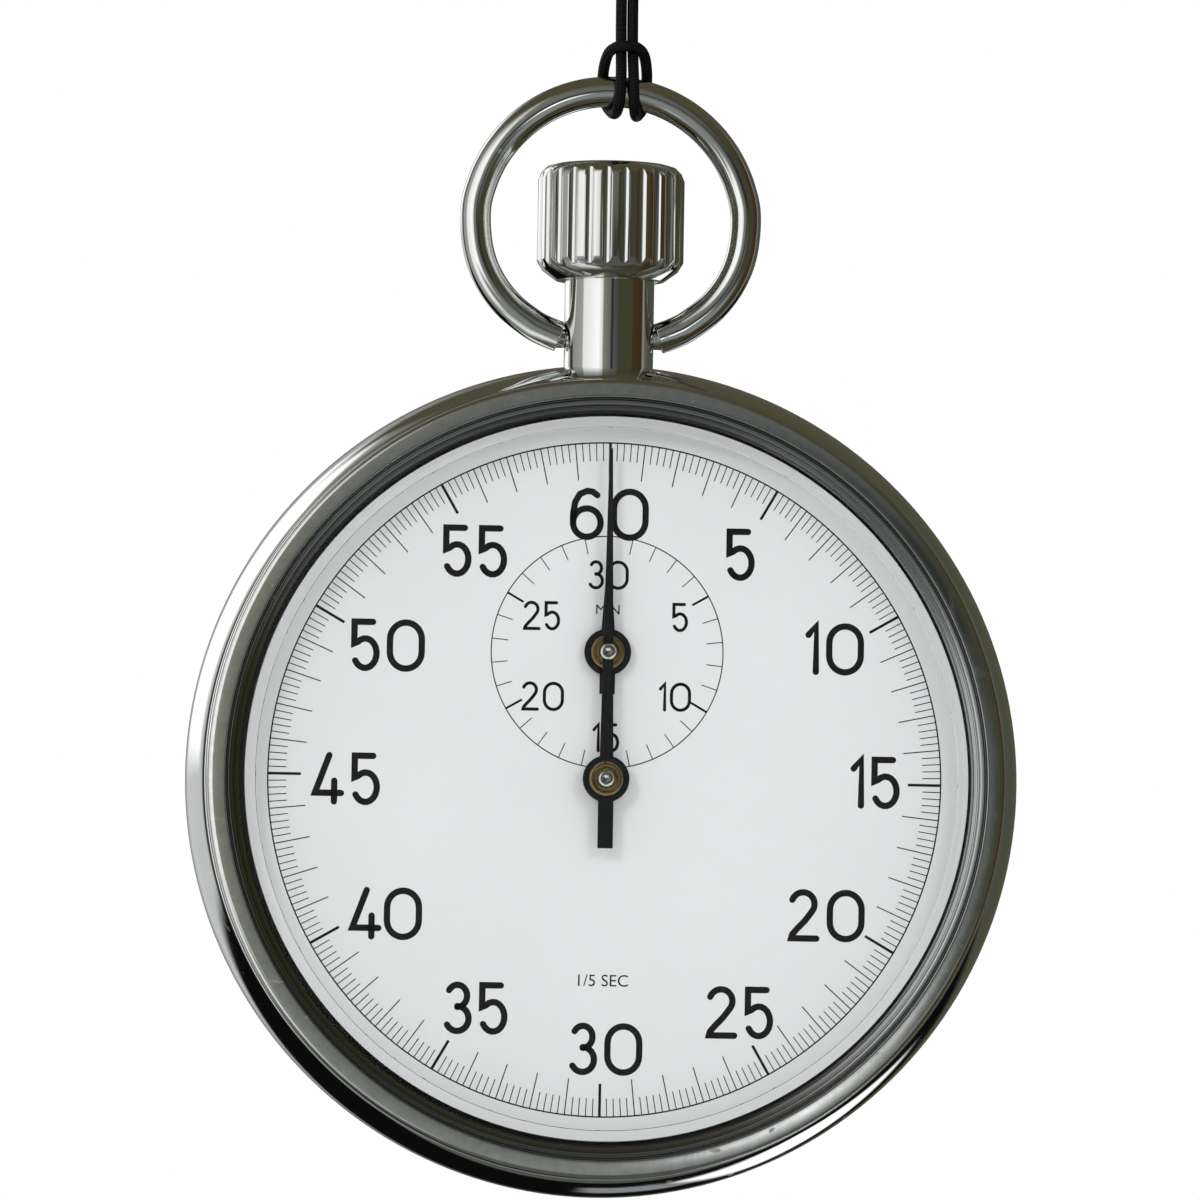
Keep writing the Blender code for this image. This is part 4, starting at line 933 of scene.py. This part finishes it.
def cord_route():
    """One cord: out of the knot, round the eye, back through the knot, and round the hitch to the knot again."""
    middle = (KNOT_FOOT_Y + KNOT_TOP_Y) / 2
    eye = [(HITCH_X + x, KNOT_TOP_Y + y, NECK_Z) for x, y in reversed(EYE_ROUTE)]
    left = [on_bow(HITCH_X - x, y, z) for x, y, z in HITCH_ROUTE]
    right = [on_bow(HITCH_X + x, y, z) for x, y, z in HITCH_ROUTE]
    start = (HITCH_X + 0.36, middle + 0.6, NECK_Z)
    end = (HITCH_X + 0.36, middle - 0.6, NECK_Z)
    between = (HITCH_X - 0.36, middle, NECK_Z)
    route = [start, *eye, between, *reversed(left), *right, end]
    return [at(*point) for point in smooth_curve(route, 5)]


def swept_cord(name, points, radius):
    """A cord as a tube, with a map that runs round it and along it in millimetres."""
    curve = bpy.data.curves.new(name, "CURVE")
    curve.dimensions = "3D"
    curve.bevel_depth = radius
    curve.bevel_resolution = 6
    curve.use_fill_caps = True
    spline = curve.splines.new("POLY")
    spline.points.add(len(points) - 1)
    for point, place in zip(spline.points, points):
        point.co = (*place, 1)
    obj = bpy.data.objects.new(name, curve)
    bpy.context.scene.collection.objects.link(obj)
    select_only(obj)
    bpy.ops.object.convert(target="MESH")
    obj = bpy.context.active_object
    scale_map(obj, length_of(points) / MM)
    return tidy_mesh(obj)


def scale_map(obj, length):
    """Stretches the tube's own map, so that its y is millimetres along the cord."""
    layer = obj.data.uv_layers.active
    if layer is None:
        raise RuntimeError(f"{obj.name} has no map")
    for loop in layer.data:
        along, around = loop.uv
        loop.uv = (around, along * length)


class STOPWATCH_OT_lanyard(bpy.types.Operator):
    """Ties the lanyard's cord to the bow, with its knot and eye"""

    bl_idname = "stopwatch.lanyard"
    bl_label = "Lanyard"

    def execute(self, context):
        finish = cord_finish()
        points = cord_route()
        cord = give(swept_cord("lanyard_cord", points, sizes().cord_thickness / 2), finish)
        select_only(cord)
        bpy.ops.object.shade_smooth()
        knot = self.knot(finish)
        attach(cord, "hanger")
        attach(knot, "hanger")
        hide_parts("lanyard_left", "lanyard_right", "lanyard_eye")
        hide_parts("lanyard_knot")
        return {"FINISHED"}

    def knot(self, finish):
        """The whipping that binds the two strands: close turns of the same cord."""
        radius, turns, steps = 1.0, 6, 24
        low = KNOT_FOOT_Y + 0.45
        high = KNOT_TOP_Y - 0.45
        count = turns * steps
        coil = [
            at(
                HITCH_X + radius * math.cos(TAU * i / steps),
                low + (high - low) * i / count,
                NECK_Z + radius * math.sin(TAU * i / steps),
            )
            for i in range(count + 1)
        ]
        knot = give(swept_cord("lanyard_knot_turns", coil, sizes().cord_thickness / 2), finish)
        select_only(knot)
        bpy.ops.object.shade_smooth()
        return knot


# Case


def flank_r(z):
    """The band's bulging side, widest level with the neck."""
    share = (z - NECK_Z) / ((BAND_TOP_Z - BACK_RIM_Z) / 2)
    return CASE_R - FLANK_FALL * abs(share) ** 2.2


class STOPWATCH_OT_case(bpy.types.Operator):
    """Turns the case's band, back, bezel and crystal"""

    bl_idname = "stopwatch.case"
    bl_label = "Case"

    def execute(self, context):
        self.band()
        self.back()
        self.bezel()
        self.crystal()
        return {"FINISHED"}

    def band(self):
        foot, steps, inner = BACK_RIM_Z + 0.1, 20, CASE_R - 2.5
        heights_down = [BAND_TOP_Z - (BAND_TOP_Z - foot) * i / steps for i in range(steps + 1)]
        profile = [(inner, BAND_TOP_Z), *[(flank_r(z), z) for z in heights_down], (inner, foot), (inner, BAND_TOP_Z)]
        band = turned("band", profile)
        rounded(band, sizes().edge_round)
        give(band, chrome_finish("band_plating", 0.05, 0.06))
        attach(band, "case")
        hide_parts("case_band")

    def back(self):
        flat_r = CASE_R - 4.0
        spigot_r = CASE_R - 2.6
        rim_r = flank_r(BACK_RIM_Z + 0.1) - 0.1
        profile = [
            (0, 0.8),
            (spigot_r - 0.6, 0.8),
            (spigot_r - 0.6, 1.9),
            (spigot_r, 1.9),
            (spigot_r, BACK_RIM_Z),
            (rim_r, BACK_RIM_Z),
            (rim_r - 0.3, BACK_RIM_Z - 0.35),
            (flat_r + 0.25, 0.05),
            (flat_r + 0.2, 0.12),
            (flat_r + 0.05, 0.12),
            (flat_r, 0),
            (0, 0),
        ]
        back = rounded(turned("back", profile), sizes().edge_round / 2, 2)
        finish = turned_chrome_finish("back_turning", at(0, 0, 0), 5200.0, 0.35, 0.14)
        give(back, finish)
        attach(back, "case")
        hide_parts("case_back")

    def bezel(self):
        """A crowned face, a shadow groove inside it, and a slope down to the crystal whose darkness is painted shade.
        """
        spigot_r = CASE_R - 2.6
        bore = CRYSTAL_R + 0.04
        seat = BAND_TOP_Z + 0.1
        crest_in, crest_out = CASE_R - 2.35, BEZEL_R - 0.22
        crown = [
            (crest_in + (crest_out - crest_in) * i / 6, BEZEL_TOP_Z - 0.10 * (i / 6) ** 1.5) for i in range(7)
        ]
        slope_top, slope_foot = (crest_in - 0.2, BEZEL_TOP_Z - 0.16), (bore, BEZEL_TOP_Z - 0.62)
        profile = [
            *crown,
            (BEZEL_R - 0.05, BEZEL_TOP_Z - 0.25),
            (BEZEL_R, BEZEL_TOP_Z - 0.5),
            (BEZEL_R, seat + 0.3),
            (BEZEL_R - 0.35, seat + 0.25),
            (BEZEL_R - 0.35, seat),
            (spigot_r, seat),
            (spigot_r, BEZEL_FOOT_Z),
            (bore - 0.25, BEZEL_FOOT_Z),
            (bore - 0.25, CRYSTAL_FOOT_Z - 0.1),
            (bore, CRYSTAL_FOOT_Z - 0.1),
            slope_foot,
            *self.stepped(slope_foot, slope_top),
            (crest_in - 0.12, BEZEL_TOP_Z - 0.34),
            (crest_in - 0.06, BEZEL_TOP_Z - 0.34),
            crown[0],
        ]
        bezel = rounded(turned("bezel_ring", profile), sizes().edge_round / 2, 3, 34)
        give(bezel, satin_chrome_finish("bezel_plating"))
        # The slope's faces take the second material, which paints shade into the recess by the crystal.
        bezel.data.materials.append(smoked_finish())
        slope_r = crest_in - 0.03
        for face in bezel.data.polygons:
            spot = in_watch(face.center)
            if math.hypot(spot.x, spot.y) < slope_r and spot.z > CRYSTAL_FOOT_Z - 0.05:
                face.material_index = 1
        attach(bezel, "case")
        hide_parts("bezel")

    def stepped(self, foot, top):
        """The slope's two shallow steps, which catch the light as thin rings."""
        points = []
        for share in (0.33, 0.66):
            radius = foot[0] + (top[0] - foot[0]) * share
            height = foot[1] + (top[1] - foot[1]) * share
            points += [(radius, height), (radius + 0.01, height + 0.05)]
        return [*points, top]

    def crystal(self):
        """A shallow dome with a hairline turned where its edge bevel starts."""
        shoulder = CRYSTAL_R - 0.7
        shoulder_z = CRYSTAL_TOP_Z - 0.5
        steps = 10
        dome = [(shoulder * i / steps, CRYSTAL_TOP_Z - 0.5 * (i / steps) ** 2) for i in range(steps + 1)]
        hairline = [(shoulder + 0.03, shoulder_z - 0.07), (shoulder + 0.06, shoulder_z - 0.03)]
        profile = [
            *dome,
            *hairline,
            (CRYSTAL_R - 0.05, shoulder_z - 0.33),
            (CRYSTAL_R, shoulder_z - 0.38),
            (CRYSTAL_R, CRYSTAL_FOOT_Z),
            (0, CRYSTAL_FOOT_Z),
        ]
        crystal = smoothed(turned("glass", profile), 12)
        give(crystal, crystal_finish())
        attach(crystal, "case")
        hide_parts("crystal")


class STOPWATCH_OT_neck(bpy.types.Operator):
    """Turns the neck tube and bends the bow through it"""

    bl_idname = "stopwatch.neck"
    bl_label = "Neck and bow"

    def execute(self, context):
        self.neck()
        self.bow()
        return {"FINISHED"}

    def neck(self):
        bore, top = 2.1, NECK_TOP_Y
        profile = [
            (NECK_R, top),
            (NECK_R, NECK_FOOT_Y),
            (bore, NECK_FOOT_Y),
            (bore, top),
            (NECK_R, top),
        ]
        neck = turned("neck", profile, (0, 0, NECK_Z), "up", 128)
        for side in (-1, 1):
            cut_with(neck, self.pin_hole(side))
        rounded(neck, 0.08 * MM, 3)
        give(neck, chrome_finish("neck_plating", 0.03, 0.03))
        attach(neck, "case")
        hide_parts("neck_tube")

    def pin_hole(self, side):
        deselect_all()
        bpy.ops.mesh.primitive_cylinder_add(
            vertices=32,
            radius=0.75 * MM,
            depth=2 * MM,
            location=at(side * NECK_R, BOW_PIVOT_Y, NECK_Z),
            rotation=(0, math.radians(90), 0),
        )
        return settle(bpy.context.active_object)

    def bow(self):
        low, count = math.radians(6), 14
        angles = [low + (math.pi - 2 * low) * i / count for i in range(count + 1)]
        ring = [(BOW_RING_R * math.cos(a), BOW_CENTRE_Y + BOW_RING_R * math.sin(a)) for a in angles]
        foot = [(x, BOW_PIVOT_Y + y) for x, y in BOW_FOOT_ROUTE]
        corners = [*[(x, y) for x, y in reversed(foot)], *ring, *[(-x, y) for x, y in foot]]
        route = [at(x, y, NECK_Z) for x, y in smooth_curve(corners, 8)]
        bow = swept_cord("bow_wire", route, BOW_WIRE_R * MM)
        pins = []
        for side in (-1, 1):
            deselect_all()
            bpy.ops.mesh.primitive_cylinder_add(
                vertices=32,
                radius=0.6 * MM,
                depth=1.4 * MM,
                location=at(side * (NECK_R + 0.2), BOW_PIVOT_Y, NECK_Z),
                rotation=(0, math.radians(90), 0),
            )
            pins.append(settle(bpy.context.active_object))
        cut_with(bow, *pins, operation="UNION")
        rounded(bow, 0.12 * MM, 3, 50)
        give(bow, chrome_finish("bow_plating", 0.06, 0.06))
        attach(bow, "hanger")
        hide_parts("bow")


class STOPWATCH_OT_crown(bpy.types.Operator):
    """Turns the crown and cuts its flutes"""

    bl_idname = "stopwatch.crown"
    bl_label = "Crown"

    def execute(self, context):
        foot, top = CROWN_FOOT_Y, CROWN_TOP_Y
        recess_r, recess_top = NECK_R + 0.2, top - 3.2
        profile = [
            (0, top),
            (CROWN_R - 1.1, top - 0.12),
            (CROWN_R - 0.55, top - 0.28),
            (CROWN_R - 0.2, top - 0.62),
            (CROWN_R, top - 1.1),
            (CROWN_R, foot + 1.2),
            (CROWN_R - 0.35, foot + 0.62),
            (CROWN_R - 1.2, foot),
            (recess_r, foot),
            (recess_r, recess_top),
            (0, recess_top),
        ]
        crown = turned("crown_blank", profile, (0, 0, NECK_Z), "up", sizes().flutes * 8)
        flutes = []
        for i in range(sizes().flutes):
            angle = TAU * i / sizes().flutes
            reach_out = CROWN_R + 0.12
            deselect_all()
            bpy.ops.mesh.primitive_cylinder_add(
                vertices=24,
                radius=sizes().flute_radius,
                depth=(top - foot + 2) * MM,
                location=at(reach_out * math.cos(angle), (top + foot) / 2, NECK_Z + reach_out * math.sin(angle)),
            )
            flutes.append(settle(bpy.context.active_object))
        cut_with(crown, joined("flute_cutters", flutes))
        crown.name = "fluted_crown"
        rounded(crown, 0.05 * MM, 2, 30)
        give(crown, chrome_finish("crown_plating", 0.06, 0.05))
        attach(crown, "crown")
        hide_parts("crown")
        return {"FINISHED"}


# Dial


def glyphs():
    """Centrelines of the digits' strokes, one unit high."""
    zero = [
        *arc((0.345, 0.64), (0.345, 0.36), 0, 180, 14),
        *arc((0.345, 0.36), (0.345, 0.36), 180, 360, 14),
    ]
    return {
        "0": ([zero], [True], 0.69),
        "1": ([[(0, 0.80), (0.17, 1), (0.17, 0)]], [False], 0.17),
        "2": (
            [[*arc((0.25, 0.745), (0.25, 0.255), 160, -40, 14), (0.30, 0.39), (0.12, 0.2), (0.02, 0.08), (0, 0), (0.55, 0)]],
            [False],
            0.55,
        ),
        "3": (
            [
                arc((0.24, 0.76), (0.21, 0.24), 150, -90, 14),
                arc((0.24, 0.27), (0.25, 0.27), 90, -150, 14),
            ],
            [False, False],
            0.49,
        ),
        "4": ([[(0.30, 1), (0, 0.185), (0.565, 0.185)], [(0.415, 0.45), (0.415, 0)]], [False, False], 0.565),
        "5": (
            [[(0.40, 1), (0, 1), (0, 0.53), *arc((0.24, 0.32), (0.247, 0.32), 130, -150, 16)]],
            [False],
            0.487,
        ),
        "6": (
            [
                [(0.52, 0.91), (0.42, 0.985), (0.30, 1.0), (0.14, 0.93), (0.04, 0.75), (0, 0.5), (0, 0.31)],
                arc((0.30, 0.31), (0.30, 0.31), 0, 348, 24),
            ],
            [False, True],
            0.60,
        ),
    }


def stroke_edges(line, half, closed):
    """The outlines of a stroke of even width: one for an open line, with round ends, and two for a ring."""
    points = [Vector(point) for point in line]
    count = len(points)
    normals = []
    for i in range(count):
        before = points[i - 1] if i or closed else points[i]
        after = points[(i + 1) % count] if i < count - 1 or closed else points[i]
        first = (points[i] - before).normalized() if points[i] != before else (after - points[i]).normalized()
        second = (after - points[i]).normalized() if after != points[i] else first
        middle = (first + second).normalized()
        stretch = 1 / max(0.5, middle.dot(first))
        normals.append(Vector((-middle.y, middle.x)) * stretch)
    left = [p + n * half for p, n in zip(points, normals)]
    right = [p - n * half for p, n in zip(points, normals)]
    if closed:
        return [left, right]

    def cap(point, normal):
        facing = math.degrees(math.atan2(normal.y, normal.x))
        return [Vector(p) for p in arc(point, (half, half), facing, facing - 180, 6)][1:-1]

    return [[*left, *cap(points[-1], normals[-1]), *reversed(right), *cap(points[0], -normals[0])]]


def flat_piece(name, outlines, thickness):
    """A flat piece lying on the dial's face, from outlines in millimetres on the dial."""
    curve = bpy.data.curves.new(name, "CURVE")
    curve.dimensions = "2D"
    curve.fill_mode = "BOTH"
    curve.extrude = thickness / 2
    for outline in outlines:
        spline = curve.splines.new("POLY")
        spline.points.add(len(outline) - 1)
        for point, (x, y) in zip(spline.points, outline):
            point.co = (x * MM, y * MM, 0, 1)
        spline.use_cyclic_u = True
    obj = bpy.data.objects.new(name, curve)
    bpy.context.scene.collection.objects.link(obj)
    select_only(obj)
    bpy.ops.object.convert(target="MESH")
    return bpy.context.active_object


def laid_on_dial(obj, x, y, z):
    """Stands a flat piece up, with its face out of the dial and its middle at that place."""
    obj.rotation_euler = OUT_OF_DIAL
    obj.location = at(x, y, z)
    return settle(obj)


class Printer:
    """Prints numerals, each digit's shape made once at its size and copied."""

    def __init__(self, height, stroke, thickness):
        self.unit = height - stroke
        self.half = stroke / 2
        self.thickness = thickness
        self.made = {}

    def width(self, digit):
        return glyphs()[digit][2] * self.unit + 2 * self.half

    def digit(self, name):
        if name not in self.made:
            lines, closed, _ = glyphs()[name]
            pieces = []
            for line, ring in zip(lines, closed):
                sized = [(x * self.unit, (y - 0.5) * self.unit) for x, y in line]
                pieces.append(flat_piece(f"digit_{name}", stroke_edges(sized, self.half, ring), self.thickness))
            self.made[name] = joined(f"digit_{name}", pieces)
        return copied(self.made[name], f"digit_{name}_copy")

    def number(self, text, x, y, z, gap):
        widths = [self.width(digit) for digit in text]
        start = x - (sum(widths) + gap * (len(text) - 1)) / 2
        placed = []
        for digit, width in zip(text, widths):
            placed.append(laid_on_dial(self.digit(digit), start + self.half, y, z))
            start += width + gap
        return placed

    def clean_up(self):
        for obj in self.made.values():
            select_only(obj)
            bpy.ops.object.delete()


def spun_copies(obj, count, angle, centre):
    """Repeats a mark round the dial, with the same angle from each copy to the next."""
    select_only(obj)
    bpy.ops.object.mode_set(mode="EDIT")
    bpy.ops.mesh.select_all(action="SELECT")
    bpy.ops.mesh.spin(steps=count - 1, angle=-angle * (count - 1), dupli=True, center=centre, axis=(0, 1, 0))
    bpy.ops.object.mode_set(mode="OBJECT")
    return obj


def tick(name, centre_y, inner, outer, width, degrees, thickness):
    """A mark from the inner to the outer radius, turned clockwise from the top."""
    deselect_all()
    bpy.ops.mesh.primitive_cube_add(size=1, location=at(0, centre_y + (inner + outer) / 2, PRINT_Z))
    obj = bpy.context.active_object
    obj.name = name
    obj.scale = (width * MM, thickness, (outer - inner) * MM)
    settle(obj)
    bpy.ops.object.mode_set(mode="EDIT")
    bpy.ops.mesh.select_all(action="SELECT")
    turn = math.radians(degrees)
    bpy.ops.transform.rotate(value=-turn, orient_axis="Y", center_override=at(0, centre_y, PRINT_Z))
    bpy.ops.object.mode_set(mode="OBJECT")
    return obj


def printed_ring(name, centre_y, radius, width, thickness):
    half = thickness / 2 / MM
    inner, outer = radius - width / 2, radius + width / 2
    profile = [(inner, half), (outer, half), (outer, -half), (inner, -half), (inner, half)]
    return turned(name, profile, (0, centre_y, PRINT_Z), "out")


def printed_words(name, text, y, height, thickness):
    deselect_all()
    bpy.ops.object.text_add()
    obj = bpy.context.active_object
    obj.data.body = text
    obj.data.align_x = "CENTER"
    obj.data.align_y = "CENTER"
    obj.data.size = height / 0.72 * MM
    obj.data.extrude = thickness / 2
    obj.data.resolution_u = 4
    bpy.ops.object.convert(target="MESH")
    obj = bpy.context.active_object
    obj.name = name
    return laid_on_dial(obj, 0, y, PRINT_Z)


SECONDS_NUMERALS = {
    # the middle of each number, from the dial's centre
    5: (8.2, 14.1),
    10: (14.15, 8.35),
    15: (16.8, 0.1),
    20: (13.9, -8.2),
    25: (8.6, -14.3),
    30: (0.3, -16.7),
    35: (-7.8, -14.3),
    40: (-13.45, -8.55),
    45: (-16.05, -0.25),
    50: (-13.6, 8.05),
    55: (-8.3, 14.0),
    60: (0.0, 16.45),
}
MINUTE_NUMERALS = {
    # the same, from the counter's centre
    5: (4.5, 2.25),
    10: (4.25, -2.7),
    15: (0.0, -5.3),
    20: (-3.95, -2.8),
    25: (-4.1, 2.2),
    30: (0.0, 4.8),
}


class STOPWATCH_OT_dial(bpy.types.Operator):
    """Lacquers the dial and prints its scales and numerals"""

    bl_idname = "stopwatch.dial"
    bl_label = "Dial"

    def execute(self, context):
        thickness = sizes().ink_thickness
        dial = frame["nodes"]["dial"]
        dial_material = dial_finish()
        for slot in dial.material_slots:
            slot.material = dial_material
        ink = ink_finish()
        scale = [
            printed_ring("seconds_ring", 0, 20.9, 0.09, thickness),
            *self.seconds_ticks(thickness),
            printed_ring("minutes_ring", MINUTE_Y, 7.2, 0.07, thickness),
            *self.minute_ticks(thickness),
        ]
        self.finish_print(joined("dial_scales", scale), ink)
        self.finish_print(self.seconds_numerals(thickness), ink)
        self.finish_print(self.minute_numerals(thickness), ink)
        words = [
            printed_words("minutes_word", "MIN", MINUTE_Y + 2.62, 0.63, thickness),
            printed_words("fifths_word", "1/5 SEC", -12.5, 0.75, thickness),
        ]
        self.finish_print(joined("dial_words", words), ink)
        return {"FINISHED"}

    def finish_print(self, obj, ink):
        tidy_mesh(obj)
        give(obj, ink)
        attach(obj, "case")

    def seconds_ticks(self, thickness):
        centre = at(0, 0, PRINT_Z)
        ring, fifth, second = 20.9, math.radians(1.2), math.radians(6)
        fine = spun_copies(tick("fifth_tick", 0, ring - 1.14, ring, 0.06, 1.2, thickness), 4, fifth, centre)
        fine = spun_copies(fine, 60, second, centre)
        seconds = spun_copies(tick("second_tick", 0, ring - 2.27, ring, 0.07, 6, thickness), 4, second, centre)
        seconds = spun_copies(seconds, 12, second * 5, centre)
        bold = spun_copies(tick("five_tick", 0, ring - 2.06, ring, 0.17, 0, thickness), 12, second * 5, centre)
        return fine, seconds, bold

    def minute_ticks(self, thickness):
        centre = at(0, MINUTE_Y, PRINT_Z)
        ring, minute = 7.2, math.radians(12)
        fine = tick("minute_tick", MINUTE_Y, ring - 1.0, ring, 0.06, 12, thickness)
        fine = spun_copies(spun_copies(fine, 4, minute, centre), 6, minute * 5, centre)
        bold = tick("five_minute_tick", MINUTE_Y, ring - 1.15, ring, 0.14, 0, thickness)
        return fine, spun_copies(bold, 6, minute * 5, centre)

    def seconds_numerals(self, thickness):
        printer = Printer(sizes().numeral_height / MM, 0.40, thickness)
        placed = []
        for number, (x, y) in SECONDS_NUMERALS.items():
            gap = 0.12 if number == 40 else 0.42
            placed += printer.number(str(number), x, y, PRINT_Z, gap)
        printer.clean_up()
        return joined("seconds_numerals", placed)

    def minute_numerals(self, thickness):
        printer = Printer(sizes().counter_numeral_height / MM, 0.20, thickness)
        placed = []
        for number, (x, y) in MINUTE_NUMERALS.items():
            placed += printer.number(str(number), x, MINUTE_Y + y, PRINT_Z, 0.22)
        printer.clean_up()
        return joined("minute_numerals", placed)


# Hands


class STOPWATCH_OT_hands(bpy.types.Operator):
    """Shapes the two hands, and turns their collets and arbor tips"""

    bl_idname = "stopwatch.hands"
    bl_label = "Hands"

    def execute(self, context):
        lacquer = hand_finish()
        reach_up = reach("second_hand")[1]
        self.hand("second_hand", 0, reach_up, 4.3, lacquer, "seconds")
        self.hand("minute_hand", MINUTE_Y, reach("minute_hand")[1] - MINUTE_Y, 2.6, lacquer, "minute")
        for name, y, body in (("second_collet", 0, "seconds"), ("minute_collet", MINUTE_Y, "minute")):
            self.collet(name, y, body)
            self.tip(name.replace("collet", "arbor_tip"), y, heights(name)[1], body)
        return {"FINISHED"}

    def hand(self, node, y, tip, tail, lacquer, body):
        """A boss with a ridged blade and a square tail."""
        low, high = heights(node)
        boss = turned(node + "_boss", [(1.05, low), (1.05, high), (1.45, high), (1.45, low), (1.05, low)], (0, y, 0), "out", 64)
        blade = self.bar(node + "_blade", y, (0.42, 1.2), (0.10, tip), low, high, ridge=0.05)
        end = self.bar(node + "_tail", y, (0.475, -1.2), (0.475, -tail), low, high, ridge=0.0)
        cut_with(boss, blade, end, operation="UNION")
        hand = rounded(boss, 0.02 * MM, 2, 30)
        hand.name = node + "_shaped"
        give(hand, lacquer)
        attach(hand, body)
        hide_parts(node)

    def bar(self, name, y, root, tip, low, high, ridge):
        """A flat bar from one half width and place to another, raised along its middle."""
        deselect_all()
        bpy.ops.mesh.primitive_cube_add(size=1, location=at(0, y + (root[1] + tip[1]) / 2, (low + high) / 2))
        bar = bpy.context.active_object
        bar.name = name
        bar.scale = (root[0] * 2 * MM, (high - low) * MM, abs(tip[1] - root[1]) * MM)
        settle(bar)
        bpy.ops.object.mode_set(mode="EDIT")
        bpy.ops.mesh.select_all(action="SELECT")
        bpy.ops.mesh.bisect(plane_co=at(0, y, low), plane_no=(1, 0, 0))
        bpy.ops.mesh.select_all(action="DESELECT")
        bpy.ops.object.mode_set(mode="OBJECT")
        end_z = at(0, y + tip[1], 0).z
        for vertex in bar.data.vertices:
            vertex.select = abs(vertex.co.z - end_z) < 0.01 * MM
        bpy.ops.object.mode_set(mode="EDIT")
        bpy.ops.mesh.select_mode(type="VERT")
        bpy.ops.transform.resize(value=(tip[0] / root[0], 1, 1), center_override=at(0, y + tip[1], high))
        bpy.ops.mesh.select_all(action="DESELECT")
        bpy.ops.object.mode_set(mode="OBJECT")
        front = at(0, 0, high).y
        middle = at(0, 0, 0).x
        for vertex in bar.data.vertices:
            vertex.select = abs(vertex.co.y - front) < 0.01 * MM and abs(vertex.co.x - middle) < 0.005 * MM
        bpy.ops.object.mode_set(mode="EDIT")
        bpy.ops.transform.translate(value=(0, -ridge * MM, 0))
        bpy.ops.object.mode_set(mode="OBJECT")
        return tidy_mesh(bar)

    def collet(self, node, y, body):
        """A brass bush with a turned groove, over the arbor's polished tip."""
        low, high = heights(node)
        outer, inner = half_width(node), 0.56
        profile = [
            (inner, low),
            (inner, high),
            (0.68, high),
            (0.70, high - 0.08),
            (0.78, high - 0.08),
            (0.80, high),
            (outer - 0.08, high),
            (outer, high - 0.06),
            (outer, low),
            (inner, low),
        ]
        collet = rounded(turned(node + "_turned", profile, (0, y, 0), "out", 64), 0.015 * MM, 2)
        give(collet, brass_finish(node + "_brass", at(0, y, 0), rings=16000.0))
        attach(collet, body)
        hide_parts(node)


    def tip(self, name, y, foot, body):
        """The polished end of a steel arbor, with a turned centre in it."""
        top = heights("seconds_wheel")[1] + 0.05
        profile = [(0, top - 0.06), (0.14, top), (0.40, top), (0.50, top - 0.08), (0.50, foot - 0.1), (0, foot - 0.1)]
        tip = rounded(turned(name, profile, (0, y, 0), "out", 48), 0.02 * MM, 2)
        give(tip, chrome_finish(name + "_polish", 0.08, 0.05))
        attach(tip, body)


# Movement


class STOPWATCH_OT_movement(bpy.types.Operator):
    """Gives every piece of the movement its own metal finish"""

    bl_idname = "stopwatch.movement"
    bl_label = "Movement"

    def execute(self, context):
        metals = {
            "steel": steel_finish("ground_steel"),
            "spring_steel": steel_finish("blued_spring_steel", (0.10, 0.13, 0.24), 0.2),
            "case_chrome": chrome_finish("plain_plating"),
            "crystal": steel_finish("hidden_crystal"),
            "hands": hand_finish(),
            "cord": steel_finish("hidden_cord"),
            "dial": None,
        }
        slots = {part["node"]: part["material_slot"] for part in frame["record"]["subparts"]}
        for node, slot in slots.items():
            if slot == "dial":
                continue
            low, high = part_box(node)
            material = metals.get(slot) or brass_finish(node + "_finish", (low + high) / 2, colour=(0.66, 0.49, 0.21))
            for own in frame["nodes"][node].material_slots:
                own.material = material
        return {"FINISHED"}


# The add-on's own parts


class STOPWATCH_PT_panel(bpy.types.Panel):
    bl_idname = "STOPWATCH_PT_panel"
    bl_label = "Stopwatch"
    bl_space_type = "VIEW_3D"
    bl_region_type = "UI"
    bl_category = "Stopwatch"

    def draw(self, context):
        for group in (context.scene.stopwatch_sizes, context.scene.stopwatch_colours):
            box = self.layout.box()
            for name in group.__annotations__:
                box.prop(group, name)
        for operator in OPERATORS:
            self.layout.operator(operator.bl_idname)


OPERATORS = (
    STOPWATCH_OT_stage,
    STOPWATCH_OT_lanyard,
    STOPWATCH_OT_case,
    STOPWATCH_OT_neck,
    STOPWATCH_OT_crown,
    STOPWATCH_OT_dial,
    STOPWATCH_OT_hands,
    STOPWATCH_OT_movement,
)
CLASSES = (StopwatchSizes, StopwatchColours, *OPERATORS, STOPWATCH_PT_panel)


def register():
    for cls in CLASSES:
        bpy.utils.register_class(cls)
    bpy.types.Scene.stopwatch_sizes = bpy.props.PointerProperty(type=StopwatchSizes)
    bpy.types.Scene.stopwatch_colours = bpy.props.PointerProperty(type=StopwatchColours)


def unregister():
    del bpy.types.Scene.stopwatch_colours
    del bpy.types.Scene.stopwatch_sizes
    for cls in reversed(CLASSES):
        bpy.utils.unregister_class(cls)


def main():
    register()
    bpy.ops.stopwatch.stage()
    bpy.ops.stopwatch.movement()
    bpy.ops.stopwatch.lanyard()
    bpy.ops.stopwatch.case()
    bpy.ops.stopwatch.neck()
    bpy.ops.stopwatch.crown()
    bpy.ops.stopwatch.dial()
    bpy.ops.stopwatch.hands()


if __name__ == "__main__":
    main()
